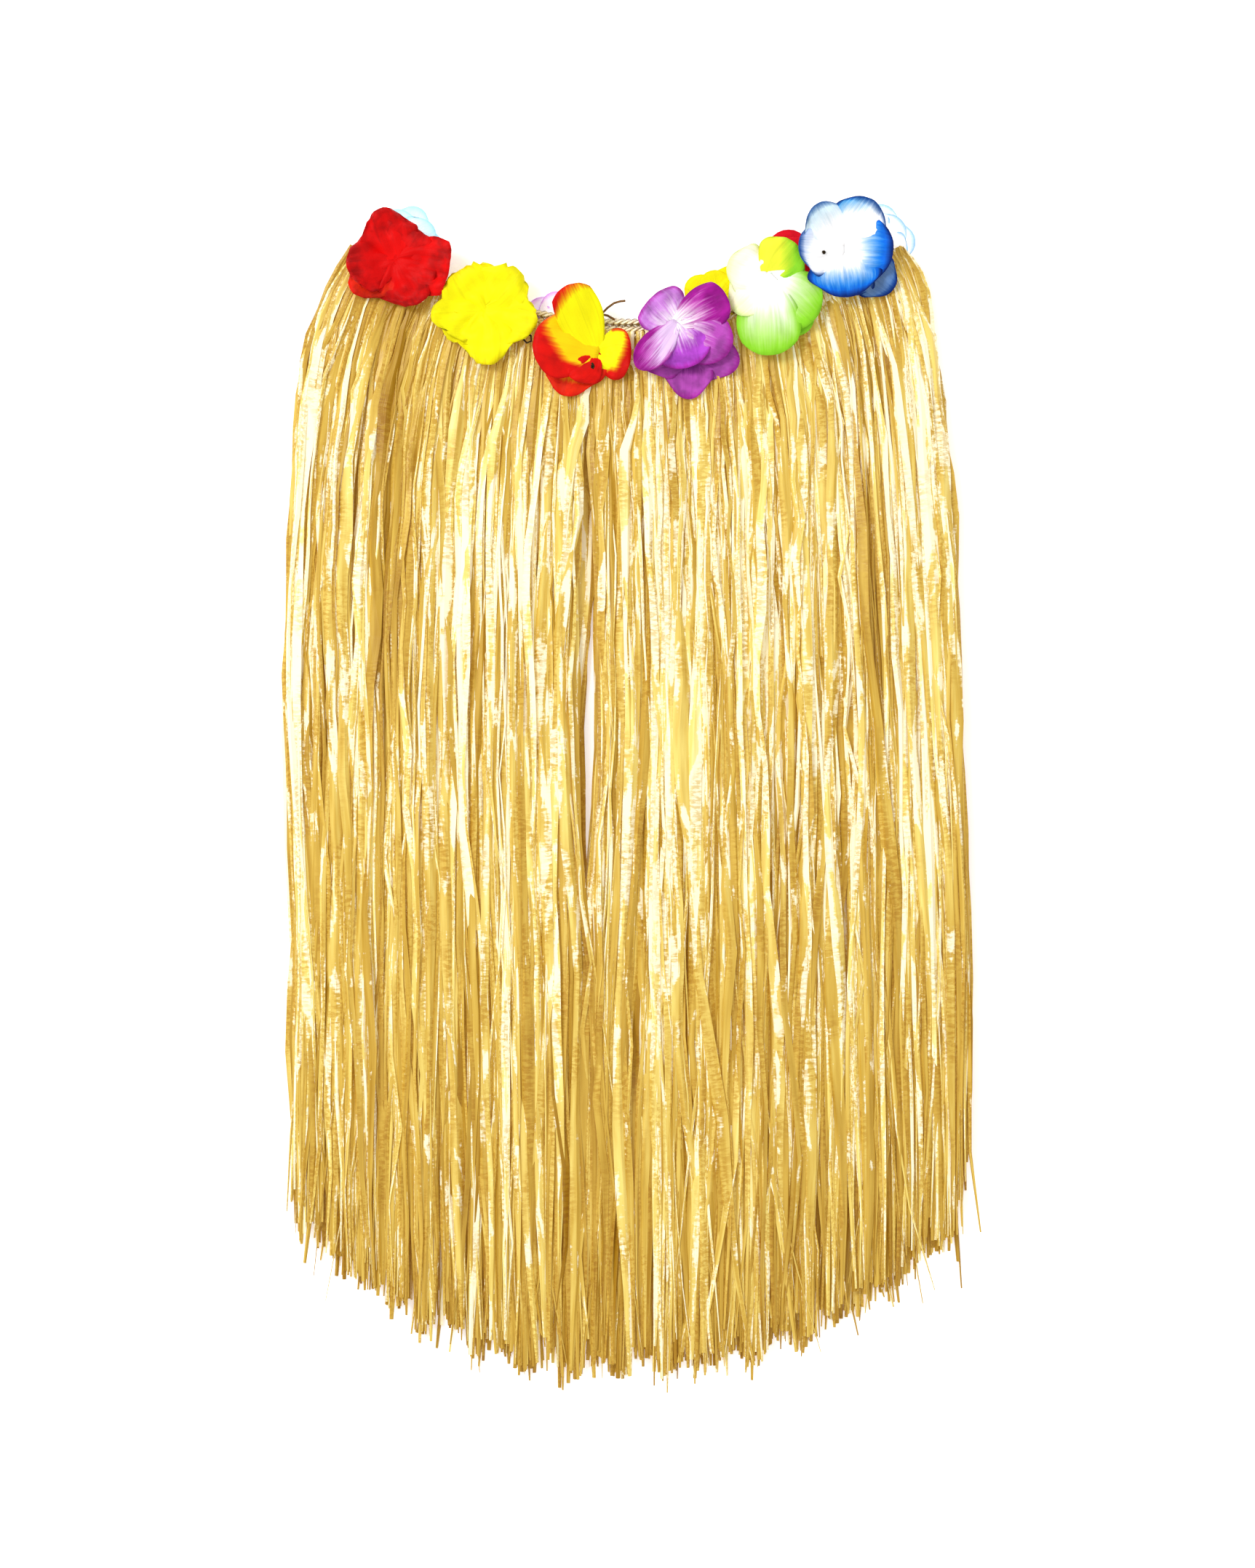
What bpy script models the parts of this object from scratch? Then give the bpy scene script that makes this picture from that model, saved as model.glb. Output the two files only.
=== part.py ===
"""A grass skirt laid flat: two layers of raffia hanging from a knotted waist heading, with cloth flowers.

The skirt lies on its back on a surface, +Z up. X runs across it and +Y points from the hem to the waist.
Its heading is a loop pressed flat, so that it lies in a shallow smile with the front half on the back half.
All sizes are in metres. Angles along the smile are measured from its lowest point.
"""

from collections import namedtuple
from math import cos, pi, radians, sin, sqrt

import bmesh
import bpy
from mathutils import Matrix, Vector

MM = 0.001
SEAM = 0.3 * MM  # air between pieces that touch

# The waist heading: a flat knotted band along an arc of a circle that is centred above the skirt.
HEADING_RADIUS = 0.350
HEADING_HALF_ANGLE = radians(36.5)
HEADING_LOW_Y = 0.351
HEADING_HEIGHT = 16 * MM
HEADING_THICKNESS = 5.5 * MM
HEADING_STEPS = 18
ARC_CENTRE = Vector((-0.003, HEADING_LOW_Y + HEADING_RADIUS, 0))

# The grass: strands about 0.8 m long, cut at the hem along a parabola.
HEM_LOW_Y = -0.456
HEM_RISE = 1.54  # how fast the hem climbs towards the sides, per metre of width squared
HEM_LEFT_X = -0.268
HEM_RIGHT_X = 0.266
STRAND_LEAD = 0.090  # how far a strand keeps square to the heading before it falls straight
STRAND_LEAD_SLANT = -0.030
STRAND_TURN = 0.310  # drop by which a strand hangs straight
SIDE_EDGE = 1.0  # the side folds are at -1 and +1 across the skirt
SLIT_ACROSS = -0.118  # where the ends of the heading meet in front
SLIT_PUSH = 0.060  # width of the grass that a gap pushes aside
BACK_GAP_SHARE = 0.85

# The flowers: two die-cut layers of five petals each.
PETAL_THICKNESS = 1.0 * MM
PETAL_NOTCH = 0.46  # depth of the cut between two petals, as a share of their reach
PETAL_SPREAD = 40 * MM  # distance at which a petal has its whole lift
CUP_POWER = 1.35
HUB_RADIUS = 7 * MM
STATIONS = (-1.0, -0.62, -0.24, 0.24, 0.62)  # across a petal, from one notch to just before the next

# Heights, from the surface up.
PRESSED_WAVE = 0.5 * MM
PRESSED_LAYER = PETAL_THICKNESS + PRESSED_WAVE + SEAM
BACK_HEADING_Z = 2 * PRESSED_LAYER
BACK_TOP_Z = BACK_HEADING_Z + HEADING_THICKNESS
FRONT_HEADING_Z = BACK_TOP_Z + SEAM
FRONT_TOP_Z = FRONT_HEADING_Z + HEADING_THICKNESS

# A row of a grass panel: its place along the strands from heading to hem, the back layer's underside
# and top, the front layer's underside and depth, the share of the full fold height, and half the
# gap at the slit.
Section = namedtuple("Section", "along under back_top front_under depth fold gap")
SECTIONS = [
    Section(0.00, BACK_HEADING_Z, BACK_TOP_Z, FRONT_HEADING_Z, 4.6 * MM, 0.10, 0.3 * MM),
    Section(0.08, BACK_HEADING_Z, 9.4 * MM, 9.9 * MM, 5.0 * MM, 0.20, 0.4 * MM),
    Section(0.15, 1.6 * MM, 9.2 * MM, 9.7 * MM, 7.2 * MM, 0.75, 0.8 * MM),
    Section(0.24, 0.0, 9.0 * MM, 9.5 * MM, 8.8 * MM, 1.00, 2.4 * MM),
    Section(0.34, 0.0, 9.0 * MM, 9.4 * MM, 9.2 * MM, 1.00, 4.2 * MM),
    Section(0.45, 0.0, 9.0 * MM, 9.4 * MM, 9.2 * MM, 0.95, 7.0 * MM),
    Section(0.56, 0.0, 8.8 * MM, 9.3 * MM, 9.0 * MM, 0.90, 10.0 * MM),
    Section(0.66, 0.0, 8.5 * MM, 9.1 * MM, 8.5 * MM, 0.85, 0.3 * MM),
    Section(0.80, 0.0, 7.8 * MM, 8.7 * MM, 7.6 * MM, 0.75, 0.3 * MM),
    Section(0.93, 0.0, 6.6 * MM, 8.1 * MM, 6.0 * MM, 0.60, 0.3 * MM),
    Section(1.00, 0.0, 4.0 * MM, 7.2 * MM, 2.6 * MM, 0.30, 0.3 * MM),
]

# A lock of strands: its share of the panel's width, how far its fold stands up, how far its tip and
# the notch on its left fall short of the hem line.
Lock = namedtuple("Lock", "width height short notch")
FRONT_LEFT_LOCKS = [
    Lock(1.0, 1.6 * MM, 12 * MM, 26 * MM),
    Lock(1.2, 3.4 * MM, 4 * MM, 40 * MM),
    Lock(0.8, 1.2 * MM, 18 * MM, 34 * MM),
    Lock(1.3, 3.8 * MM, 0 * MM, 42 * MM),
    Lock(1.0, 2.6 * MM, 9 * MM, 30 * MM),
    Lock(1.2, 3.2 * MM, 2 * MM, 24 * MM),
    Lock(0.9, 2.0 * MM, 10 * MM, 28 * MM),
    Lock(0.7, 2.8 * MM, 3 * MM, 26 * MM),
]
FRONT_RIGHT_LOCKS = [
    Lock(0.8, 2.6 * MM, 4 * MM, 24 * MM),
    Lock(1.2, 3.0 * MM, 0 * MM, 27 * MM),
    Lock(0.9, 1.8 * MM, 8 * MM, 24 * MM),
    Lock(1.3, 3.4 * MM, 1 * MM, 30 * MM),
    Lock(0.9, 2.2 * MM, 11 * MM, 26 * MM),
    Lock(1.1, 3.8 * MM, 3 * MM, 33 * MM),
    Lock(0.8, 1.4 * MM, 13 * MM, 28 * MM),
    Lock(1.2, 3.2 * MM, 2 * MM, 38 * MM),
    Lock(1.0, 2.4 * MM, 9 * MM, 30 * MM),
    Lock(0.9, 1.6 * MM, 5 * MM, 27 * MM),
]
BACK_LEFT_LOCKS = [
    Lock(1.1, 0, 9 * MM, 30 * MM),
    Lock(1.0, 0, 2 * MM, 36 * MM),
    Lock(1.2, 0, 12 * MM, 28 * MM),
    Lock(0.9, 0, 4 * MM, 33 * MM),
    Lock(1.1, 0, 8 * MM, 27 * MM),
    Lock(1.0, 0, 6 * MM, 30 * MM),
]
BACK_RIGHT_LOCKS = [
    Lock(1.0, 0, 6 * MM, 28 * MM),
    Lock(1.1, 0, 11 * MM, 31 * MM),
    Lock(0.9, 0, 3 * MM, 26 * MM),
    Lock(1.2, 0, 9 * MM, 34 * MM),
    Lock(1.0, 0, 5 * MM, 29 * MM),
    Lock(1.1, 0, 12 * MM, 35 * MM),
    Lock(0.9, 0, 4 * MM, 28 * MM),
]
FRONT_COLUMNS = (0.0, 0.34, 0.68)  # across a lock: the valley, then the two shoulders of its fold
BACK_COLUMNS = (0.0, 0.5)

# A panel of grass: its locks, and where its left and right edges are across the skirt.
Panel = namedtuple("Panel", "name locks left right shares is_front")
PANELS = [
    Panel("grass_back_left", BACK_LEFT_LOCKS, -SIDE_EDGE, SLIT_ACROSS, BACK_COLUMNS, False),
    Panel("grass_back_right", BACK_RIGHT_LOCKS, SLIT_ACROSS, SIDE_EDGE, BACK_COLUMNS, False),
    Panel("grass_front_left", FRONT_LEFT_LOCKS, -SIDE_EDGE, SLIT_ACROSS, FRONT_COLUMNS, True),
    Panel("grass_front_right", FRONT_RIGHT_LOCKS, SLIT_ACROSS, SIDE_EDGE, FRONT_COLUMNS, True),
]

# A petal: the way it points, how far it reaches from the hub, and how high its end lifts.
Petal = namedtuple("Petal", "azimuth reach lift")
# A flower: its hub, the shift of its lower layer, and the petals of its upper layer.
Flower = namedtuple("Flower", "name colour x y shift_x shift_y petals")
FRONT_FLOWERS = [
    Flower("red", (0.86, 0.01, 0.01), -0.181, 0.404, 0.000, 0.000, [
        Petal(18, 0.040, 0.014), Petal(95, 0.040, 0.018), Petal(158, 0.035, 0.015),
        Petal(215, 0.039, 0.010), Petal(290, 0.040, 0.014)]),
    Flower("yellow", (1.0, 0.93, 0.02), -0.110, 0.363, 0.000, 0.001, [
        Petal(40, 0.039, 0.013), Petal(112, 0.038, 0.010), Petal(184, 0.039, 0.008),
        Petal(252, 0.038, 0.010), Petal(320, 0.039, 0.013)]),
    Flower("sunset", (0.95, 0.35, 0.03), -0.036, 0.345, -0.003, -0.010, [
        Petal(0, 0.036, 0.014), Petal(92, 0.038, 0.018), Petal(158, 0.035, 0.009),
        Petal(218, 0.038, 0.014), Petal(300, 0.036, 0.010)]),
    Flower("purple", (0.56, 0.13, 0.62), 0.041, 0.350, 0.002, -0.014, [
        Petal(-14, 0.042, 0.010), Petal(54, 0.037, 0.012), Petal(118, 0.036, 0.018),
        Petal(205, 0.036, 0.010), Petal(282, 0.034, 0.013)]),
    Flower("green", (0.62, 0.86, 0.20), 0.110, 0.374, 0.000, -0.003, [
        Petal(-5, 0.036, 0.008), Petal(62, 0.037, 0.010), Petal(130, 0.039, 0.014),
        Petal(205, 0.036, 0.017), Petal(275, 0.042, 0.010)]),
    Flower("blue", (0.10, 0.38, 0.78), 0.165, 0.411, 0.009, -0.008, [
        Petal(-8, 0.036, 0.014), Petal(62, 0.038, 0.018), Petal(132, 0.036, 0.020),
        Petal(205, 0.033, 0.021), Petal(280, 0.035, 0.018)]),
]
LOWER_TURN = 36  # degrees between the two layers of a flower
LOWER_REACH = 0.0355
LOWER_LIFT = 0.006

# The flowers of the back half, pressed between the heading and the surface.
PressedFlower = namedtuple("PressedFlower", "name colour x y turn")
BACK_FLOWERS = [
    PressedFlower("back_sky", (0.55, 0.85, 0.95), -0.172, 0.415, 67),
    PressedFlower("back_violet", (0.66, 0.35, 0.80), -0.057, 0.355, 75),
    PressedFlower("back_gold", (1.0, 0.85, 0.05), 0.062, 0.361, 75),
    PressedFlower("back_scarlet", (0.88, 0.05, 0.04), 0.119, 0.394, 60),
    PressedFlower("back_azure", (0.45, 0.75, 0.92), 0.186, 0.424, 5),
]
PRESSED_REACH = 0.0325

STRAW = (0.86, 0.66, 0.25)
HEADING_STRAW = (0.80, 0.62, 0.28)


def clear_scene():
    for obj in list(bpy.data.objects):
        bpy.data.objects.remove(obj)


def finish_of(name, colour, roughness):
    finish = bpy.data.materials.new(name)
    finish.use_nodes = True
    shader = finish.node_tree.nodes["Principled BSDF"]
    shader.inputs["Base Color"].default_value = (*colour, 1)
    shader.inputs["Roughness"].default_value = roughness
    shader.inputs["Metallic"].default_value = 0
    return finish


def node_from(name, bm, finish, parent, crease_angle=radians(30)):
    """Turns a bmesh into a named object under the skirt's origin."""
    bmesh.ops.recalc_face_normals(bm, faces=bm.faces)
    mesh = bpy.data.meshes.new(name)
    bm.to_mesh(mesh)
    bm.free()
    mesh.shade_smooth()
    mesh.set_sharp_from_angle(angle=crease_angle)
    mesh.materials.append(finish)
    obj = bpy.data.objects.new(name, mesh)
    obj.parent = parent
    bpy.context.collection.objects.link(obj)
    return obj


def on_arc(angle, radius):
    """A point of the smile, at an angle from its lowest point."""
    return ARC_CENTRE + Vector((radius * sin(angle), -radius * cos(angle), 0))


def strand_point(across, along, short):
    """A point of the grass in plan. A strand leaves the heading square to it, then hangs straight."""
    angle = across * HEADING_HALF_ANGLE
    square = Vector((sin(angle), -cos(angle), 0))
    start = on_arc(angle, HEADING_RADIUS + HEADING_HEIGHT / 2 + SEAM)
    hem_x = HEM_LEFT_X + (HEM_RIGHT_X - HEM_LEFT_X) * (across + 1) / 2
    hem_y = HEM_LOW_Y + HEM_RISE * hem_x**2 + short
    lead = start + square * (STRAND_LEAD + STRAND_LEAD_SLANT * across)
    turn = Vector((hem_x, start.y - STRAND_TURN, 0))
    end = Vector((hem_x, hem_y, 0))
    rest = 1 - along
    return (
        rest**3 * start
        + 3 * rest**2 * along * lead
        + 3 * rest * along**2 * turn
        + along**3 * end
    )


def columns_of(panel):
    """For each column of a panel: where it is across the skirt, its fold height and its cut at the hem."""
    total = sum(lock.width for lock in panel.locks)
    columns, reached = [], 0
    for lock in panel.locks:
        for share in panel.shares:
            across = panel.left + (panel.right - panel.left) * (reached + share * lock.width) / total
            is_valley = share == 0
            height = 0 if is_valley else lock.height
            columns.append((across, height, lock.notch if is_valley else lock.short))
        reached += lock.width
    columns.append((panel.right, 0, panel.locks[-1].notch))
    return columns


def grass_panel(panel, finish, parent):
    """One panel of grass: a flat grid and its underside, then laid out along the strands."""
    columns = columns_of(panel)
    last_column, last_row = len(columns) - 1, len(SECTIONS) - 1
    bm = bmesh.new()
    bmesh.ops.create_grid(bm, x_segments=last_column, y_segments=last_row, size=1)
    lower = bmesh.ops.extrude_face_region(bm, geom=list(bm.faces), use_keep_orig=True)
    lower_verts = [item for item in lower["geom"] if isinstance(item, bmesh.types.BMVert)]
    bmesh.ops.translate(bm, verts=lower_verts, vec=(0, 0, -1))
    slit_x = strand_point(SLIT_ACROSS, 0.5, 0).x
    side_of_slit = 1 if panel.left + panel.right > 2 * SLIT_ACROSS else -1
    for vert in bm.verts:
        column = round((vert.co.x + 1) / 2 * last_column)
        section = SECTIONS[round((1 - vert.co.y) / 2 * last_row)]
        is_top = vert.co.z > -0.5
        across, height, short = columns[column]
        place = strand_point(across, section.along, short)
        gap = section.gap if panel.is_front else max(SEAM, section.gap * BACK_GAP_SHARE)
        place.x += side_of_slit * gap * max(0, 1 - abs(place.x - slit_x) / SLIT_PUSH)
        place.z = panel_height(section, height, column in (0, last_column), panel.is_front, is_top)
        vert.co = place
    return node_from(panel.name, bm, finish, parent)


def panel_height(section, height, at_edge, is_front, is_top):
    """How high a panel's top or underside lies. The front panel lies on the back one, a seam above it."""
    if is_front:
        under = section.front_under
        depth = section.depth + height * section.fold
    else:
        under = section.under
        depth = section.back_top - section.under
    if at_edge:
        depth *= 0.45 if is_front else 0.8
    return under + depth if is_top else under


def heading_profile(bm, low_z):
    """The band's rounded section, standing square to the smile at its left end."""
    half, thick, chamfer = HEADING_HEIGHT / 2, HEADING_THICKNESS, 1.4 * MM
    outline = [
        (-half, chamfer), (-half + chamfer, 0),
        (half - chamfer, 0), (half, chamfer),
        (half, thick - chamfer), (half - chamfer, thick),
        (-half + chamfer, thick), (-half, thick - chamfer),
    ]
    verts = []
    for out, up in outline:
        place = on_arc(-HEADING_HALF_ANGLE, HEADING_RADIUS + out)
        place.z = low_z + up
        verts.append(bm.verts.new(place))
    return bm.faces.new(verts)


def heading(name, low_z, finish, parent):
    """Half of the waist heading: its section swept along the smile."""
    bm = bmesh.new()
    start = heading_profile(bm, low_z)
    bmesh.ops.spin(
        bm, geom=[start], cent=ARC_CENTRE, axis=(0, 0, 1), angle=2 * HEADING_HALF_ANGLE,
        steps=HEADING_STEPS, use_duplicate=False,
    )
    return node_from(name, bm, finish, parent)


def heading_fold(name, side, finish, parent):
    """The turn at a side, where the heading's front half runs round into its back half."""
    bm = bmesh.new()
    face = heading_profile(bm, FRONT_HEADING_Z)
    end_turn = Matrix.Rotation(HEADING_HALF_ANGLE * (side + 1), 4, "Z")
    bmesh.ops.rotate(bm, verts=bm.verts, cent=ARC_CENTRE, matrix=end_turn)
    angle = side * HEADING_HALF_ANGLE
    square = Vector((sin(angle), -cos(angle), 0))
    along = Vector((cos(angle), sin(angle), 0)) * side
    bmesh.ops.translate(bm, verts=bm.verts, vec=along * SEAM)
    pivot = on_arc(angle, HEADING_RADIUS)
    pivot.z = FRONT_HEADING_Z - SEAM / 2
    bmesh.ops.spin(
        bm, geom=[face], cent=pivot + along * SEAM, axis=-square * side, angle=pi,
        steps=6, use_duplicate=False,
    )
    return node_from(name, bm, finish, parent)


def spokes_of(petals):
    """Where each spoke of a flower points, its reach and its lift: five stations across every petal."""
    spokes = []
    count = len(petals)
    for index, petal in enumerate(petals):
        before, after = petals[index - 1], petals[(index + 1) % count]
        to_left = ((petal.azimuth - before.azimuth) % 360) / 2
        to_right = ((after.azimuth - petal.azimuth) % 360) / 2
        for station in STATIONS:
            turn = station * (to_left if station < 0 else to_right)
            if station == -1.0:
                reach = PETAL_NOTCH * min(petal.reach, before.reach)
                lift = (petal.lift + before.lift) / 2
            else:
                reach = petal.reach * (1 - 0.30 * abs(station) ** 3)
                lift = petal.lift * (1 - 0.10 * abs(station))
            spokes.append((radians(petal.azimuth + turn), reach, lift))
    return spokes


def lift_at(lift, distance):
    """How high a petal of the given lift stands at a distance from its hub."""
    return lift * (distance / PETAL_SPREAD) ** CUP_POWER


def petal_layer(name, centre, petals, rings, wave, finish, parent):
    """A die-cut layer of petals: a spun disc whose rim is drawn out into petals, cupped, then thickened."""
    spokes = spokes_of(petals)
    bm = bmesh.new()
    verts = [bm.verts.new((ring, 0, 0)) for ring in range(rings + 1)]
    edges = [bm.edges.new(pair) for pair in zip(verts, verts[1:])]
    bmesh.ops.spin(
        bm, geom=edges, cent=(0, 0, 0), axis=(0, 0, 1), angle=2 * pi,
        steps=len(spokes), use_merge=True,
    )
    bmesh.ops.remove_doubles(bm, verts=bm.verts, dist=0.01)
    for vert in bm.verts:
        ring = round(vert.co.length)
        turn = (Vector((1, 0)).angle_signed(-vert.co.xy, 0) + pi) if ring else 0
        spoke = round((2 * pi - turn) / (2 * pi) * len(spokes)) % len(spokes)
        angle, reach, lift = spokes[spoke]
        inner = HUB_RADIUS * min(1, ring)
        distance = inner + (reach - inner) * max(0, ring - 1) / (rings - 1)
        height = lift_at(lift, distance) + wave * (spoke % 2) * (ring == rings)
        vert.co = (distance * cos(angle), distance * sin(angle), height)
    upper = bmesh.ops.extrude_face_region(bm, geom=list(bm.faces), use_keep_orig=True)
    raised = [item for item in upper["geom"] if isinstance(item, bmesh.types.BMVert)]
    bmesh.ops.translate(bm, verts=raised, vec=(0, 0, PETAL_THICKNESS))
    bmesh.ops.translate(bm, verts=bm.verts, vec=centre)
    return node_from(name, bm, finish, parent, crease_angle=radians(60))


def regular_petals(reach, lift, turn):
    return [Petal(turn + 72 * index, reach, lift) for index in range(5)]


def front_flower(flower, parent):
    """A flower sewn to the outside of the front: a lower layer, and an upper layer of its own shape."""
    finish = finish_of(f"petals_{flower.name}", flower.colour, 0.65)
    hub = Vector((flower.x, flower.y, FRONT_TOP_Z + SEAM))
    shift = Vector((flower.shift_x, flower.shift_y, 0))
    turn = flower.petals[0].azimuth + LOWER_TURN
    lower = regular_petals(LOWER_REACH, LOWER_LIFT, turn)
    petal_layer(f"flower_{flower.name}_lower", hub + shift, lower, 3, 0, finish, parent)
    clear_of_lower = lift_at(LOWER_LIFT, HUB_RADIUS + shift.length)
    raised = hub + Vector((0, 0, PETAL_THICKNESS + SEAM + clear_of_lower))
    petal_layer(f"flower_{flower.name}_upper", raised, flower.petals, 3, 0, finish, parent)


def back_flower(flower, parent):
    """A flower of the back half, pressed flat under the heading."""
    finish = finish_of(f"petals_{flower.name}", flower.colour, 0.65)
    for layer, part in enumerate(("lower", "upper")):
        petals = regular_petals(PRESSED_REACH, 0, flower.turn + LOWER_TURN * layer)
        centre = Vector((flower.x, flower.y, layer * PRESSED_LAYER))
        petal_layer(f"flower_{flower.name}_{part}", centre, petals, 2, PRESSED_WAVE, finish, parent)


def set_origin(parent):
    """Puts the middle of the skirt's underside at the world's origin."""
    bpy.context.view_layer.update()
    corners = []
    for child in parent.children:
        corners += [child.matrix_world @ vert.co for vert in child.data.vertices]
    low = Vector([min(corner[axis] for corner in corners) for axis in range(3)])
    high = Vector([max(corner[axis] for corner in corners) for axis in range(3)])
    parent.location = -Vector(((low.x + high.x) / 2, (low.y + high.y) / 2, low.z))


def main():
    clear_scene()
    origin = bpy.data.objects.new("skirt", None)
    bpy.context.collection.objects.link(origin)
    straw = finish_of("raffia", STRAW, 0.35)
    knots = finish_of("raffia_knots", HEADING_STRAW, 0.45)

    for panel in PANELS:
        grass_panel(panel, straw, origin)
    heading("heading_back", BACK_HEADING_Z, knots, origin)
    heading("heading_front", FRONT_HEADING_Z, knots, origin)
    heading_fold("heading_fold_left", -1, knots, origin)
    heading_fold("heading_fold_right", 1, knots, origin)

    for flower in FRONT_FLOWERS:
        front_flower(flower, origin)
    for flower in BACK_FLOWERS:
        back_flower(flower, origin)
    set_origin(origin)


main()
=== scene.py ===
# %% [markdown]
# # A grass skirt, laid flat
#
# A raffia skirt is a heading, which is a band of twisted cords at the waist, with hundreds of strips of
# raffia looped over it, and a row of cloth flowers sewn along it. Here it lies on its back with the front
# on top. The CAD model gives the room that each piece has. This script fills that room with real strips,
# cords and petals. Everything is in metres, with +Z up and +Y from the hem to the waist.

from collections import namedtuple
from functools import partial
from math import cos, pi, radians, sin, tau

import bmesh
import bpy
import numpy as np
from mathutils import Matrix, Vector
from mathutils import noise as perlin
from mathutils.bvhtree import BVHTree


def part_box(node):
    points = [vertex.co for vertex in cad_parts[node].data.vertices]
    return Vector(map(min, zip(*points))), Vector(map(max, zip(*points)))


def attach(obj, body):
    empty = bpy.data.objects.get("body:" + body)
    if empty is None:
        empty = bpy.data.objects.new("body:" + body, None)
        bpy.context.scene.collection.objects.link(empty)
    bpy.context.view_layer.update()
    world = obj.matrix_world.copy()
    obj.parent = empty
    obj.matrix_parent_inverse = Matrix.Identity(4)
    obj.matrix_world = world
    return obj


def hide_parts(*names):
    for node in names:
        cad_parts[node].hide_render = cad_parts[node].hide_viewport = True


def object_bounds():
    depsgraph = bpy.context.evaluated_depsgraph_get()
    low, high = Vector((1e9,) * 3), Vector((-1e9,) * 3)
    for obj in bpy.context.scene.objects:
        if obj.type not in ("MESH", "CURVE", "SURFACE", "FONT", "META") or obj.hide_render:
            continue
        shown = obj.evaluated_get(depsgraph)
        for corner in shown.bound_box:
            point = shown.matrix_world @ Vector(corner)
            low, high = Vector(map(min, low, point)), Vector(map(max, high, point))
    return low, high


MM = 0.001
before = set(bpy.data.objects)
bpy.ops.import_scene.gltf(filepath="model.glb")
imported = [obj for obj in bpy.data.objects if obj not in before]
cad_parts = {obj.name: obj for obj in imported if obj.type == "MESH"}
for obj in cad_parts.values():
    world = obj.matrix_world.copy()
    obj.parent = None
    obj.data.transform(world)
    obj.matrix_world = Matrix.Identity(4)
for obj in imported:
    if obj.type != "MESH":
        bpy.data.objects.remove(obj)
cad_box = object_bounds()
print("CAD box:", [[round(value, 4) for value in corner] for corner in cad_box])

# %% [markdown]
# ## Camera
#
# The skirt is seen from straight above. A long lens from nearly three metres keeps the flowers, which
# stand a few centimetres up, from looking larger than they are.

# %% Camera
PICTURE_HEIGHT = 1.214  # metres of the surface from the picture's top to its bottom
LENS = 85
SENSOR = 36


def placed(name, data):
    """An object that holds this data, linked to the scene."""
    made = bpy.data.objects.new(name, data)
    bpy.context.collection.objects.link(made)
    return made


lens = bpy.data.cameras.new("camera")
lens.lens = LENS
lens.sensor_width = SENSOR
camera = placed("camera", lens)
camera.location = (0, 0, PICTURE_HEIGHT * LENS / SENSOR)
bpy.context.scene.camera = camera
print("camera height:", round(camera.location.z, 3))

# %% [markdown]
# ## Floor and light
#
# A white surface, lit a little from behind, under a bright, even sky gives the clean pale ground of a
# catalogue picture. One soft light at the upper left shapes the folds and lights up the gloss of the
# raffia. A light that is much larger would wash the gloss out, and a smaller one would leave hard shadows
# beside the skirt.

# %% Floor and light
FLOOR_SIDE = 6.0
BACKLIGHT = 0.36
SKY_STRENGTH = 0.90
LAMP_PLACE = Vector((-1.5, 1.1, 2.3))
LAMP_SIDE = 0.9
LAMP_WATTS = 38


def fill(tree, node, inputs):
    """Gives a node's inputs numbers, colours, or links from other nodes. Returns the node."""
    for name, value in inputs.items():
        socket = node.inputs[name]
        if isinstance(value, bpy.types.NodeSocket):
            tree.links.new(value, socket)
        elif socket.type == "RGBA":
            socket.default_value = (*value, 1)
        else:
            socket.default_value = value
    return node


def new_material(name):
    material = bpy.data.materials.new(name)
    material.use_nodes = True
    tree = material.node_tree
    return material, tree, tree.nodes["Principled BSDF"]


bm = bmesh.new()
bmesh.ops.create_grid(bm, x_segments=1, y_segments=1, size=FLOOR_SIDE / 2)
floor_mesh = bpy.data.meshes.new("floor")
bm.to_mesh(floor_mesh)
bm.free()
paper, tree, shader = new_material("backlit_paper")
fill(tree, shader, {"Base Color": (0.98, 0.98, 0.98), "Roughness": 0.9, "Specular IOR Level": 0,
                    "Emission Color": (1, 0.97, 0.93), "Emission Strength": BACKLIGHT})
floor_mesh.materials.append(paper)
placed("floor", floor_mesh)

sky = bpy.data.worlds.new("studio")
sky.use_nodes = True
fill(sky.node_tree, sky.node_tree.nodes["Background"], {"Color": (1, 1, 1), "Strength": SKY_STRENGTH})
bpy.context.scene.world = sky

lamp_data = bpy.data.lights.new("lamp", "AREA")
lamp_data.size = LAMP_SIDE
lamp_data.energy = LAMP_WATTS
lamp = placed("lamp", lamp_data)
lamp.location = LAMP_PLACE
lamp.rotation_euler = (-LAMP_PLACE).to_track_quat("-Z", "Y").to_euler()
bpy.context.scene.view_settings.view_transform = "Standard"
print("lamp at", tuple(lamp.location))

# %% [markdown]
# ## Where the pieces may lie
#
# Each CAD solid says how high its layer is at every place. Rays shot down and up through a grid of places
# read the top and the underside, and the edge values spread outwards, so that a strand which strays past
# a solid's edge still has a height. After that every strand can be laid with array arithmetic.

# %% Heights of the layers
CELL = 6 * MM
GRID_X = np.arange(cad_box[0][0] - 2 * CELL, cad_box[1][0] + 3 * CELL, CELL)
GRID_Y = np.arange(cad_box[0][1] - 2 * CELL, cad_box[1][1] + 3 * CELL, CELL)
RAY_START = 0.5


def spread(field):
    """Fills the empty places of a grid from the ones beside them."""
    while np.isnan(field).any():
        wide = np.pad(field, 1, constant_values=np.nan)
        beside = np.stack([wide[2:, 1:-1], wide[:-2, 1:-1], wide[1:-1, 2:], wide[1:-1, :-2]])
        known = ~np.isnan(beside)
        total = np.where(known, beside, 0).sum(axis=0)
        mean = np.where(known.any(axis=0), total / np.maximum(known.sum(axis=0), 1), np.nan)
        field = np.where(np.isnan(field), mean, field)
    return field


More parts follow.
